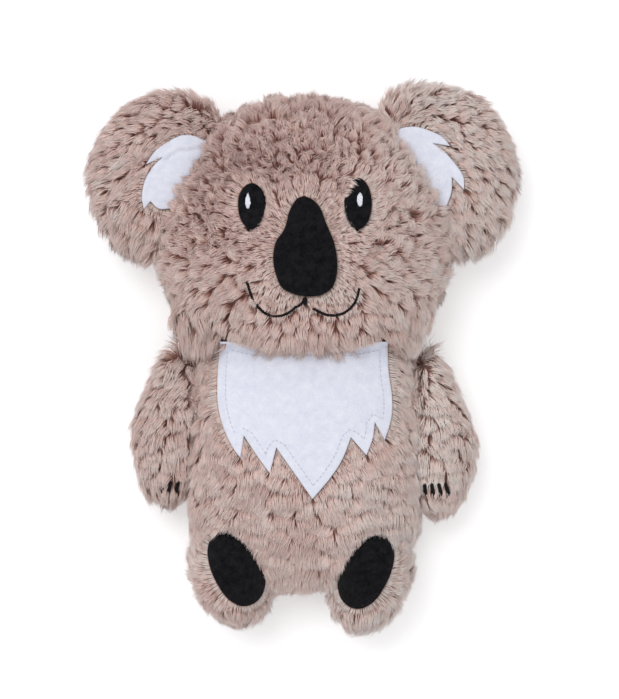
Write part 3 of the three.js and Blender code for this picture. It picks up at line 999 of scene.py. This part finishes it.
def torso_fields(at, normals):
    """Wide rows combed down the belly, and smaller and rougher tufts beside the bib."""
    across = (at[:, 0] - CENTRE_X) / HALF_BELLY
    below = step_between(NECK_Y, NECK_Y - 60, at[:, 1])
    beside = step_between(0.5, 0.8, np.abs(across)) * (1 - step_between(NECK_Y - 25, NECK_Y - 75, at[:, 1]))
    fan = across * (0.75 - 0.3 * below + 1.6 * beside) + 0.12 * drift(at, 40, 7.0)
    return Fields(
        in_plane(fan, -np.ones(len(at))), across=12.5 - 6.3 * beside, along=6.8 - 1.2 * beside, height=5.6,
        overlap=5.2 + 2.4 * beside, gather=0.1 + 0.22 * beside, wander=0.2 + 0.24 * beside,
        curl=0.5 + 0.5 * beside, shade=blotches(at))


def face_smoothness(at):
    """1 where the pile is short and sleek: round the nose and mouth, and close to the eyes."""
    found = np.zeros(len(at))
    for name, far, close in (("nose", -15, -7), ("left_eye", -9, -3), ("right_eye", -10, -3)):
        found = np.maximum(found, step_between(far, close, EDGES[name].depth(at)[0]))
    return found


def head_fields(at, normals):
    """Away from the nose: curly on the forehead, sleek on the face, and longer at the crown and the hem."""
    x, y, facing = at[:, 0], at[:, 1], normals[:, 2]
    aside, nose_y = np.abs(x - CENTRE_X), NOSE_AT[1]
    away = at[:, :2] - NOSE_AT
    far = np.linalg.norm(away, axis=1)
    away = unit(away)
    down = step_between(NECK_Y + 45, NECK_Y + 8, y)
    jowl = step_between(NECK_Y + 36, NECK_Y + 16, y) * step_between(48, 58, aside)
    jowl *= step_between(-0.7, -0.1, facing)
    hem = step_between(NECK_Y + 14, NECK_Y + 2, y) * np.where(aside > 54, 1, 0.7)
    crown = step_between(nose_y + 62, nose_y + 78, y) * np.exp(-((x + 4) / 20) ** 2)
    calm = step_between(10, 70, x) * step_between(nose_y + 30, nose_y - 10, y)
    curly = step_between(nose_y - 22, nose_y + 8, y) * step_between(96, 62, far)
    curly *= step_between(-0.1, 0.35, facing)
    curly *= 1 - 0.45 * step_between(10, 60, x)
    sleek = face_smoothness(at) * step_between(0.1, 0.5, facing)

    def mixed(plain_one, curly_one, sleek_one):
        return (plain_one + (curly_one - plain_one) * curly) * (1 - sleek) + sleek_one * sleek

    size = mixed(5.9, 2.9, 3.2)
    jowl_height = np.where(x < CENTRE_X, 6, 1) * jowl * step_between(0.1, -0.5, normals[:, 1])
    return Fields(
        in_plane(away[:, 0] * (1 - 0.45 * down) * (1 - 0.5 * jowl), away[:, 1] - 0.7 * down),
        across=size * 1.15, along=size, height=mixed(6.4, 5.5, 3.0) + 1.5 * crown + jowl_height,
        overlap=mixed(4.8, 3.2, 3.4) + 2 * crown + 4.5 * hem + 5 * jowl,
        gather=mixed(0.3 - 0.12 * calm, 0.55, 0.2) * (1 - 0.9 * hem),
        wander=mixed(0.28, 0.9, 0.22) * (1 - 0.7 * hem), curl=mixed(0.8, 2.0, 0.2),
        shade=blotches(at) - 0.18 * curly + 0.1 * sleek)


# How much longer each ear's pile is: at the top next to the head, at the top far from it, and low far from it
EAR_LENGTHS = {"left": (3.0, -1.6, 0.0), "right": (4.5, 0.0, 3.0)}


def ear_fields(side):
    """Away from the ear's root, hanging more towards its lower end."""
    root = hinge(f"{side}_ear_fold")[0] + np.array([-8.0 * SIDES[side], -6.0, 0])
    low, high = FORMS[f"{side}_ear"].low, FORMS[f"{side}_ear"].high

    def fields(at, normals):
        away = unit(at[:, :2] - root[:2])
        hang = (high[1] - at[:, 1]) / (high[1] - low[1])
        apart = SIDES[side] * (2 * at[:, 0] - low[0] - high[0]) / (high[0] - low[0])
        upper, lower = step_between(0.45, 0.15, hang), step_between(0.6, 0.85, hang)
        near_top, far_top, far_low = EAR_LENGTHS[side]
        near, far = step_between(-0.1, -0.6, apart), step_between(0.1, 0.6, apart)
        longer = upper * (near_top * near + far_top * far) + lower * far_low * step_between(0, 0.5, apart)
        return Fields(
            in_plane(away[:, 0], away[:, 1] - 0.25 - 0.5 * hang), across=4.6, along=5.4,
            height=4.3 + 5.0 * hang + longer, overlap=4.3 + 2.8 * hang, gather=0.24, wander=0.3, curl=0.9,
            shade=blotches(at))
    return fields


# How far the pile at the top of each arm points up, and how much shorter it is on top of the shoulder and
# on the outside of the paw
ARM_LIFTS = {"left": 0.6, "right": 0.2}
SLIM_SHOULDER = {"left": 0.5, "right": 3.6}
SLIM_PAW = {"left": 0.0, "right": 3.6}


def arm_fields(side):
    """Outwards over the shoulder, and down along the arm."""
    top_y = corners(f"{side}_arm_stuffing")[1][1]

    def fields(at, normals):
        y, outward = at[:, 1], normals[:, 0] * SIDES[side]
        down = step_between(top_y, top_y - 55, y)
        top = step_between(top_y - 14, top_y + 2, y)
        inner = step_between(0.1, 0.7, -outward) * step_between(top_y - 22, top_y - 6, y)
        paw = step_between(top_y - 58, top_y - 88, y) * step_between(0, 0.6, outward)
        slimmer = SLIM_SHOULDER[side] * step_between(0, 0.6, normals[:, 1]) * (1 - inner)
        return Fields(
            in_plane(SIDES[side] * (1.0 - 0.95 * down), -1 + ARM_LIFTS[side] * top), across=7.0, along=6.2,
            height=6.2 - 0.9 * down - slimmer + 3 * inner - SLIM_PAW[side] * paw, overlap=5.0 - 0.6 * down,
            gather=0.22, wander=0.28, curl=0.8, shade=blotches(at))
    return fields


def leg_fields(side):
    """Away from the middle of the sole, and shorter under the foot."""
    root = middle(f"{side}_foot_pad")[:2] - [0, 6]

    def fields(at, normals):
        away = at[:, :2] - root
        return Fields(
            in_plane(away[:, 0], away[:, 1] - 4), across=6.0, along=5.8,
            height=6.6 - 1.3 * step_between(0, -0.7, normals[:, 1]), overlap=4.8, gather=0.26, wander=0.28,
            curl=0.8, shade=blotches(at) + 0.05)
    return fields


FIELDS = {"torso": torso_fields, "head": head_fields}
for side in SIDES:
    for limb, fields_of in (("ear", ear_fields), ("arm", arm_fields), ("leg", leg_fields)):
        FIELDS[f"{side}_{limb}"] = fields_of(side)

# Where pile falls over the edge of a felt: the side of the felt, as a direction, and how far over it
FALLS_OVER = {"right_eye": ((-1.0, 0.6), 3.2)}
UNDER_EDGE = 2.4  # pile also grows this far in under the edge of a felt
# How high the pile stands next to a felt, and how much it is combed away from it
EDGE_HEIGHT, EDGE_HEIGHT_ON_HEAD = 4.0, 2.9
EDGE_TURN, EDGE_TURN_ON_TORSO = 0.3, 0.12


def owner_of(name):
    """The body that carries a felt or a stitch."""
    if name in FELTS:
        return FELTS[name].body
    return "head" if "mouth" in name else name.split("_")[0] + "_arm"


def side_facing(name, out):
    """How much the way out of a felt's edge points to the side where pile falls over it."""
    if name not in FALLS_OVER:
        return np.zeros(len(out))
    way = np.array(FALLS_OVER[name][0])
    return step_between(0.85, 0.97, out @ (way / np.linalg.norm(way)))


def make_way(body, at, normals, fields):
    """Shortens the pile next to felts, and combs it away from them or over them."""
    fields.flow = unit(fields.flow)
    front = step_between(-0.1, 0.3, normals[:, 2])
    height = EDGE_HEIGHT_ON_HEAD if body == "head" else EDGE_HEIGHT
    turn = EDGE_TURN_ON_TORSO if body == "torso" else EDGE_TURN
    for name, edge in EDGES.items():
        if owner_of(name) != body:
            continue
        depths, out = edge.depth(at)
        over = side_facing(name, out)
        near = step_between(-5.0, -0.3, depths) * front
        inward = np.minimum((fields.flow[:, :2] * out).sum(1), 0)
        fields.flow[:, :2] -= (near * (1 - over) * inward)[:, None] * out * 0.85
        fields.flow[:, :2] += (turn * near * (1 - over))[:, None] * out
        lean = step_between(-6.0, -1.5, depths) * front * over
        fields.flow[:, :2] += lean[:, None] * (-1.5 * out - 0.9 * fields.flow[:, :2])
        beneath = (depths > -0.15) & (normals[:, 2] > 0)
        fields.flow[beneath, :2] += 0.8 * out[beneath]
        fields.flow = unit(fields.flow)
        close = step_between(-8.0, -0.5, depths) * front
        fields.height = np.minimum(fields.height, fields.height * (1 - close) + height * close)
        fields.height += 2.2 * lean
        fields.overlap += 2.0 * lean
        fields.wander *= 1 - 0.4 * close
    return fields


def fields_at(at, normals, body, bodies):
    """The fields of all these roots, each from its own body."""
    whole = {}
    for name in bodies:
        own = body == name
        part = make_way(name, at[own], normals[own], FIELDS[name](at[own], normals[own]))
        for key, value in vars(part).items():
            whole.setdefault(key, np.zeros((len(at),) + value.shape[1:]))[own] = value
    return Fields(**whole)


# ---------------------------------------------------------------- roots and tufts

FRONT_DENSITY, BACK_DENSITY = 1.75, 0.75  # strands to the square millimetre
FAR_OFF = 12.0  # gaps to other forms are not measured beyond this
CHIN_ROOTS = 38  # this far to each side, short pile also grows on the chin's underside, over the bib
CHIN_DEPTHS = (9.0, 0.2)  # how far down over the bib it grows, in the middle and at the sides


def pile_density(surface):
    """More strands where they are seen from the front and the sides than under the toy."""
    facing = surface.normals[surface.tris].mean(1)[:, 2]
    return BACK_DENSITY + (FRONT_DENSITY - BACK_DENSITY) * step_between(-0.75, -0.25, facing)


def scatter(surface, rng):
    """Roots spread evenly over a surface, the ways out of it, and how many come to the square millimetre."""
    weights = surface.areas * pile_density(surface)
    total = np.cumsum(weights)
    count = int(total[-1])
    picked = np.searchsorted(total, (np.arange(count) + rng.random(count)) * total[-1] / count)
    picked = np.minimum(picked, len(weights) - 1)
    first, second = rng.random((2, count))
    first = np.sqrt(first)
    shares = np.stack([1 - first, first * (1 - second), first * second], 1)[:, :, None]
    ends = surface.tris[picked]
    at, normals = [(values[ends] * shares).sum(1) for values in (surface.points, surface.normals)]
    return at, unit(normals), weights[picked] / surface.areas[picked]


def roots_of(bodies, rng):
    """Where the strands of these bodies start, clear of other forms, felts and stitches.

    For each root it gives the place, the way out of the form, the body, the gap to other forms, the density,
    how deep it lies under a felt's edge, and whether its strand is a short one over the bib.
    """
    form = form_of(bodies[0])
    at, normals, dense = scatter(BACKINGS[bodies[0]], rng)
    body = np.full(len(at), bodies[0], dtype=object)
    if len(bodies) > 1:
        body[at[:, 1] > NECK_Y] = bodies[1]
    gaps = np.full(len(at), FAR_OFF)
    for other in [BODY] + list(FORMS.values()):
        if other is not form:
            gaps = np.minimum(gaps, other.gap_to(at + normals * 2, FAR_OFF))
    kept = gaps > -0.6  # outside the other forms
    aside = np.abs(at[:, 0] - CENTRE_X)
    beneath, short = np.full(len(at), -9.0), np.zeros(len(at), bool)
    for name, edge in {**EDGES, **STITCHED_EDGES}.items():
        if form_of(owner_of(name)) is not form:
            continue
        depths, out = edge.depth(at)
        depths = np.where(normals[:, 2] < 0, -9, depths)
        own = body == owner_of(name)
        chin = ~own & (name == "chest_bib") & (aside < CHIN_ROOTS)
        tucked = own & (name in EDGES) & ((name != "chest_bib") | (out[:, 1] < 0.4))
        deepest = np.where(tucked, UNDER_EDGE, -0.1)
        kept &= depths < np.where(chin, np.interp(step_between(20, 30, aside), (0, 1), CHIN_DEPTHS), deepest)
        if name in EDGES:
            beneath = np.maximum(beneath, np.where(own, depths + 0.15, -9))
            short |= chin & (depths > -0.1)
    return [values[kept] for values in (at, normals, body, gaps, dense, beneath, short)]


def nearest_tuft(at, centres, flow, normal, reach, tries=6, thickness=4.0):
    """The tuft that each root belongs to, by the tufts' own widths and lengths."""
    tree = KDTree(len(centres))
    for i, c in enumerate(centres.tolist()):
        tree.insert(c, i)
    tree.balance()
    tries = min(tries, len(centres))
    found = np.array([[hit[1] for hit in tree.find_n(p, tries)] for p in at.tolist()])
    apart = at[:, None] - centres[found]
    ways = ((flow, reach[found, 1]), (np.cross(normal, flow), reach[found, 0]), (normal, thickness))
    far = sum(((apart * way[found]).sum(2) / size) ** 2 for way, size in ways)
    return found[np.arange(len(at)), far.argmin(1)]


def tufts_of(at, normals, fields, density, rng, rounds=3, sampled=0.35):
    """The tufts' middles, ways and sizes, and the tuft of each root. A share of the roots settles them."""
    sizes = np.stack([fields.across, fields.along], 1)
    picked = rng.random(len(at)) < 1 / (density * fields.across * fields.along)
    few = rng.random(len(at)) < sampled
    centres, normal, flow, reach = at[picked], normals[picked], fields.flow[picked], sizes[picked]
    for _ in range(rounds):
        group = nearest_tuft(at[few], centres, flow, normal, reach)
        used = np.bincount(group, minlength=len(centres)) > 0
        centres, normal, flow, reach = [
            mean_of(group, len(used), values[few])[used] for values in (at, normals, fields.flow, sizes)]
        normal = unit(normal)
        flow = flat_to(normal, flow)
    turns = rng.normal(0, 1, len(centres))
    group = nearest_tuft(at, centres, flow, normal, reach)
    spread = mean_of(group, len(centres), fields.wander[:, None])[:, 0]
    return centres, turned_on(normal, flow, turns * spread), reach, group


# ---------------------------------------------------------------- strands

class Strands:
    """Bent tapering strands: where each starts, bends and ends, the way out of its form, how wide it is, its
    shade, and the body that carries it."""

    def __init__(self, base, bend, tip, normal, width, shade, body):
        self.base, self.bend, self.tip, self.normal = base, bend, tip, normal
        self.width, self.shade, self.body = width, shade, body

    def only(self, kept):
        return Strands(**{name: values[kept] for name, values in vars(self).items()})

    def shorten(self, share):
        self.bend = self.base + (self.bend - self.base) * share[:, None]
        self.tip = self.base + (self.tip - self.base) * share[:, None]


BEND_RUN, BEND_LIFT = 0.36, 0.78  # a strand bends at this share of its way along and up
SHORT_RUN, SHORT_LIFT = 2.0, 2.8  # of the short strands over the bib
STRAYS = 0.09  # the share of strands that don't keep to their tuft


def grow(bodies, rng):
    """Strands all over a form, from the fields that its bodies give."""
    at, normals, body, gaps, dense, beneath, short = roots_of(bodies, rng)
    bridging = step_between(9, 2, gaps) * step_between(-0.3, 0.3, normals[:, 2])
    upright = 1.7 if bodies[0] == "torso" else 0.7
    n = unit(normals + upright * bridging[:, None] * [0, 0, 1])
    fields = fields_at(at, n, body, bodies)
    swirl = 0.32 * drift(at, 26, 11.0) + 0.18 * drift(at, 11, 13.0)
    fields.flow = turned_on(n, flat_to(n, fields.flow), swirl)
    crowded = np.minimum(fields.height, 1.0 + 1.2 * np.maximum(gaps, 0))
    fields.height += (crowded - fields.height) * step_between(0.4, 0.0, n[:, 2])
    centres, flow, reach, group = tufts_of(at, n, fields, dense, rng)

    def draw(spread, size=len(at)):
        return rng.normal(0, spread, size)

    def each(lengths, way):
        return way * lengths[:, None]

    count, tufts = len(at), len(centres)
    tall = 1 + np.clip(draw(1.0, tufts)[group], -1.8, 1.8) * (0.1 + 0.24 * fields.wander)
    long = np.clip(1 + draw(0.14, tufts), 0.6, 1.4)[group]
    tint = draw(0.085, tufts)[group]
    sway = draw(1.0, tufts)[group]
    lone = step_between(-3.6, -1.2, beneath)[:, None]
    d = flat_to(n, flow[group] * (1 - lone) + fields.flow * lone)
    b = np.cross(n, d)
    apart = at - centres[group]
    ahead, beside = (apart * d).sum(1), (apart * b).sum(1)
    stray = rng.random(count) < STRAYS
    ragged = 0.95 + 0.85 * step_between(0.7, 0.15, n[:, 2])
    run = reach[group, 1] / 2 + fields.overlap * long - ahead + draw(1.0) * ragged
    run = np.clip(run, 1.8, 13.5) * np.where(stray, rng.uniform(0.9, 1.3, count), 1)
    side = -fields.gather * beside + draw(0.6) * ragged + stray * draw(1.3)
    lift = fields.height * tall * np.clip(1 + draw(0.09), 0.6, 1.5)
    run, lift = np.where(short, SHORT_RUN, run), np.where(short, SHORT_LIFT, lift)
    tip = at + each(run, d) + each(side, b) + each(lift, n)
    bend = at + each(BEND_RUN * run, d) + each(BEND_LIFT * lift, n)
    bend += each(0.3 * side + fields.curl * (0.7 * sway + draw(0.5)), b)
    low = beneath > 0
    bend[low] = (at + each(beneath + 0.6, d) + each(rng.uniform(0.5, 1.2, count), n))[low]
    far = rng.uniform(1.8, 3.8, count) * np.where(body == "torso", 1.9, 1.0)
    tip[low] = (bend + each(far, d) + each(rng.uniform(1.6, 3.0, count), n))[low]
    wide = rng.uniform(0.21, 0.33, count) * (1 + 0.45 * step_between(-0.2, -0.7, n[:, 2]))
    shade = np.clip(0.5 + fields.shade + tint + 0.3 * low + draw(0.14), 0.02, 0.98)
    return Strands(at - n * 0.5, bend, tip, n, wide, shade, body)


# The lower edge of the chin's pile over the bib: its height at the ends, and how far its middle hangs lower
CHIN_ENDS, CHIN_BOW = 9.0, 10.0
HALF_CHIN = 50.0
MOST_LIFT = 3.5  # a strand that lies deeper than this under a sole is left out
HEM_LIFT = 0.8  # so is one of the head's that lies deeper than this under an upper corner of the bib
BIB_CORNER = 44.0  # pile of the head from further out than this is kept off the bib
BIB_ENDS = 24.0  # further out than this, no pile of the head comes out from behind the bib
LEAST_SHARE = 0.22  # a strand that keeps less of its length is left out
# How far the pile over each claw is pressed down, from the claw next to the body outwards
CLAWS_CLEAR = {"left": (0.6, 1.0, 1.0, 0.35), "right": (1.0, 0.9, 1.0, 0.35)}


def chin_line(x):
    """The height to which the chin's pile hangs down in front of the bib."""
    across = np.abs(x - CENTRE_X) / HALF_CHIN
    bow = CHIN_ENDS - CHIN_BOW + CHIN_BOW * np.minimum(across, 1) ** 2
    return bow - 12 * step_between(1.03, 1.15, across)


def in_front_of(strands, name, *others):
    """Whether each strand grows on the front, on the body of a felt or on one that the felt lies over."""
    bodies = [owner_of(name), *others] + ["torso"] * (name in SOLE_SHAPES)
    return np.isin(strands.body, bodies) & (strands.normal[:, 2] > -0.2)


def clear_shares(strands, rng, steps=10):
    """How much of each strand is left, once those that would hide a felt are cut back to its edge."""
    share = np.ones(len(strands.base))
    for name, edge in EDGES.items():
        near = edge.near(strands.base) | edge.near(strands.tip)
        some = np.flatnonzero(in_front_of(strands, name) & near)
        base, bend, tip = strands.base[some], strands.bend[some], strands.tip[some]
        start, out = edge.depth(base)
        allowed = FELTS[name].reach * 2 * rng.random(len(some)) ** 2
        if name in FALLS_OVER:
            allowed += FALLS_OVER[name][1] * side_facing(name, out) * rng.uniform(0.45, 1, len(some))
        from_below = 2.8 * rng.random(len(some)) ** 0.9
        allowed = np.where(strands.body[some] == owner_of(name), allowed, from_below)
        fit = np.zeros(len(some))
        blocked, outside = np.zeros(len(some), bool), start < 0
        for t in np.linspace(0.1, 1, steps):
            at = base + (bend - base) * min(2 * t, 1) + (tip - bend) * max(2 * t - 1, 0)
            depths = edge.depth(at)[0]
            outside |= depths < 0
            blocked |= outside & (depths > allowed)
            fit = np.where(blocked, fit, t)
        share[some] = np.minimum(share[some], np.where(outside, fit, 0))
    chin = (strands.body == "head") & (strands.base[:, 2] > SEAM_Z["head"] + 6)
    chin &= (strands.tip[:, 1] < NECK_Y + 8) & (strands.base[:, 1] > EDGES["chest_bib"].outline[:, 1].max())
    hem = chin_line(strands.tip[:, 0]) + rng.gamma(2.0, 0.45, len(chin))
    drop = np.maximum(strands.base[:, 1] - strands.tip[:, 1], 0.1)
    return np.where(chin, np.minimum(share, np.maximum(strands.base[:, 1] - hem, 0) / drop), share)


def lift_over_felts(strands):
    """Lifts the strands that reach over a felt clear of it. True for those that lie too deep under it."""
    bib = EDGES["chest_bib"]
    aside = np.abs(strands.base[:, 0] - CENTRE_X)
    buried = (strands.body == "head") & bib.near(strands.tip) & (aside > BIB_CORNER)
    buried[buried] = bib.depth(strands.tip[buried])[0] > 0.3
    for name, edge in EDGES.items():
        others = ["head"] if name == "chest_bib" else []
        some = np.flatnonzero(in_front_of(strands, name, *others) & edge.near(strands.tip))
        start = edge.depth(strands.base[some])[0]
        most_lift = np.full(len(aside), MOST_LIFT if name in SOLE_SHAPES else np.inf)
        if name == "chest_bib":
            most_lift[(strands.body == "head") & (aside > BIB_ENDS)] = HEM_LIFT
        for place, margin in ((strands.bend, 0.5), (strands.tip, 0.7)):
            depths = edge.depth(place[some])[0]
            for i in some[(depths > -0.6) & (start < 0)]:
                least = felt_top(name, *place[i, :2]) + margin
                buried[i] |= least - place[i, 2] > most_lift[i]
                place[i, 2] = max(place[i, 2], least)
    return buried


def press_under_stitches(strands):
    """Presses the pile down where a stitch crosses it."""
    clear = {f"{side}_claw_{i + 1}": share for side in SIDES for i, share in enumerate(CLAWS_CLEAR[side])}
    for name, edge in STITCHED_EDGES.items():
        form = form_of(owner_of(name))
        own = (strands.body == owner_of(name)) & (strands.normal[:, 2] > 0)
        some = np.flatnonzero(own & (edge.near(strands.base) | edge.near(strands.tip)))
        for place in (strands.bend, strands.tip):
            depths = edge.depth(place[some])[0]
            level = np.array([place[i, 2] - form.height_at(*place[i, :2]) for i in some])
            press = clear.get(name, 1) * step_between(-2.6, -0.4, depths) * np.maximum(level - 0.5, 0)
            place[some, 2] -= press


def trimmed(strands, rng):
    """The strands kept off felts and stitches, and above what the toy lies on."""
    share = clear_shares(strands, rng)
    strands.shorten(share)
    buried = lift_over_felts(strands)
    press_under_stitches(strands)
    strands = strands.only((share > LEAST_SHARE) & ~buried)
    for place in (strands.base, strands.bend, strands.tip):
        place[:, 2] = np.maximum(place[:, 2], 0.25 + 0.9 * (strands.shade - 0.02))
    return strands


# ---------------------------------------------------------------- meshes of strands

# A strand's points are three round its root, three round its bend, and its tip. Its faces are three
# four-sided ones, a triangle under the root, and three triangles that meet at the tip
STRAND_CORNERS = np.array([3, 4, 1, 0, 4, 5, 2, 1, 5, 3, 0, 2, 6, 4, 3, 6, 5, 4, 6, 3, 5, 1, 2, 0])
STRAND_SIZES = np.array([4, 4, 4, 3, 3, 3, 3])
# The places of the seven points on the map: beside the strand's shade, and up from root to tip
MAP_ACROSS = np.array([-0.002, 0.002, 0.0, -0.002, 0.002, 0.0, 0.0])
MAP_UP = np.array([0.0, 0.0, 0.03, 0.5, 0.5, 0.53, 1.0])
MOST_STRANDS = 19000  # in one piece


def pile_piece(name, strands):
    """One mesh of strands, each with three sides, a closed root and a point."""
    count = len(strands.base)
    low, high = unit(strands.bend - strands.base), unit(strands.tip - strands.bend)
    beside = unit(np.cross(low, strands.normal + 1e-4))
    facing_up = strands.normal[:, 2:]
    steady = np.maximum(step_between(-0.1, 0.55, facing_up), step_between(-0.75, -0.95, facing_up))
    steady = 0.12 + 0.88 * steady
    points, facing = [], []
    for at, way, wide in ((strands.base, low, 1.0), (strands.bend, high, 0.86)):
        over = np.cross(beside, way)
        for angle in (math.pi / 2, math.pi * 7 / 6, math.pi * 11 / 6):
            turn = beside * math.cos(angle) + over * 0.75 * math.sin(angle)
            points.append(at + turn * (strands.width * wide)[:, None])
            facing.append(unit(turn * 0.45 + strands.normal * steady))
    points = np.stack(points + [strands.tip], 1).reshape(-1, 3)
    facing = np.stack(facing + [unit(strands.normal * steady + 0.3 * high)], 1).reshape(-1, 3)
    corner_points = (STRAND_CORNERS[None] + 7 * np.arange(count)[:, None]).ravel()
    starts = np.concatenate([[0], np.cumsum(np.tile(STRAND_SIZES, count))[:-1]])
    mesh = bpy.data.meshes.new(name)
    mesh.vertices.add(len(points))
    mesh.loops.add(len(corner_points))
    mesh.polygons.add(len(starts))
    mesh.vertices.foreach_set("co", (points * MM).astype(np.float32).ravel())
    mesh.loops.foreach_set("vertex_index", corner_points.astype(np.int32))
    mesh.polygons.foreach_set("loop_start", starts.astype(np.int32))
    mesh.update(calc_edges=True)
    mesh.shade_smooth()
    across = (strands.shade[:, None] + MAP_ACROSS[STRAND_CORNERS]).ravel()
    places = np.stack([across, np.tile(MAP_UP[STRAND_CORNERS], count)], 1)
    mesh.uv_layers.new(name=PILE_MAP).uv.foreach_set("vector", places.astype(np.float32).ravel())
    mesh.normals_split_custom_set_from_vertices(facing.tolist())
    mesh.materials.append(PILE)
    return placed(name, mesh)


rng = np.random.default_rng(SEED)
for bodies in FORM_BODIES.values():
    strands = trimmed(grow(bodies, rng), rng)
    for body in bodies:
        own = strands.only(strands.body == body)
        for part, way in (("front", 1), ("back", -1)):
            half = own.only((own.base[:, 2] - SEAM_Z[body]) * way >= 0)
            bands = math.ceil(len(half.base) / MOST_STRANDS)
            order = np.argsort(-half.base[:, 1], kind="stable")
            for i, some in enumerate(np.array_split(order, bands)):
                label = f"{body}_{part}_pile" + (f"_{i + 1}" if bands > 1 else "")
                follow(pile_piece(label, half.only(some)), body)


# ---------------------------------------------------------------- floor, light and camera

def seen_white(tree):
    """1 for rays that show a background: to the camera, or by way of gloss or glass."""
    path = add_node(tree, "LightPath")
    largest = path.outputs["Is Camera Ray"]
    for kind in ("Glossy", "Transmission"):
        rays = {0: largest, 1: path.outputs[f"Is {kind} Ray"]}
        largest = add_node(tree, "Math", rays, operation="MAXIMUM").outputs[0]
    return largest


WHITE_GLOW = 0.33  # with this the floor looks white where no shadow falls


def lit_floor():
    """A pale floor that looks white where no shadow falls."""
    material, tree, shader = empty_material("pale_floor", 0.9, specular=0.1)
    glow = add_node(tree, "Math", {0: seen_white(tree), 1: WHITE_GLOW}, operation="MULTIPLY").outputs[0]
    feed(tree, shader, {
        "Base Color": (0.93, 0.93, 0.94, 1), "Emission Color": (1, 1, 1, 1), "Emission Strength": glow})
    return material


FLOOR_REACH = 40  # metres
floor_mesh = bpy.data.meshes.new("floor")
floor_corners = [(x * FLOOR_REACH, y * FLOOR_REACH, 0) for x, y in ((-1, -1), (1, -1), (1, 1), (-1, 1))]
floor_mesh.from_pydata(floor_corners, [], [(0, 1, 2, 3)])
floor_mesh.materials.append(lit_floor())
placed("floor", floor_mesh)

SKY, KEY = 0.72, 0.85  # the strengths of the light from all round and of the lamp
world = bpy.data.worlds.new("studio")
bpy.context.scene.world = world
world.use_nodes = True
tree = world.node_tree
strength = add_node(tree, "MapRange", {"Value": seen_white(tree), "To Min": SKY, "To Max": 1.0})
feed(tree, tree.nodes["Background"], {"Color": (1, 1, 1, 1), "Strength": strength.outputs["Result"]})

key = bpy.data.lights.new("soft_key", "SUN")
key.energy, key.angle = KEY, math.radians(32)
key_lamp = placed("soft_key", key)
key_lamp.rotation_euler = Vector((-0.3, 0.4, 1.0)).to_track_quat("Z", "Y").to_euler()

PIXEL, FRAME_UP = 0.6, 699  # millimetres to a pixel of the photograph, and its height in pixels
VIEW_AT = (4.2, 4.8, 34.0)  # the place in the middle of the picture
DISTANCE = 3000.0  # of the camera, so far off that the view is nearly flat
lens = bpy.data.cameras.new("camera")
lens.sensor_width = 36
lens.lens = lens.sensor_width * DISTANCE / (PIXEL * FRAME_UP)
lens.clip_start, lens.clip_end = 0.1, 100
camera = placed("camera", lens)
camera.location = Vector((VIEW_AT[0], VIEW_AT[1], VIEW_AT[2] + DISTANCE)) * MM
bpy.context.scene.camera = camera
bpy.context.scene.view_settings.view_transform = "Standard"
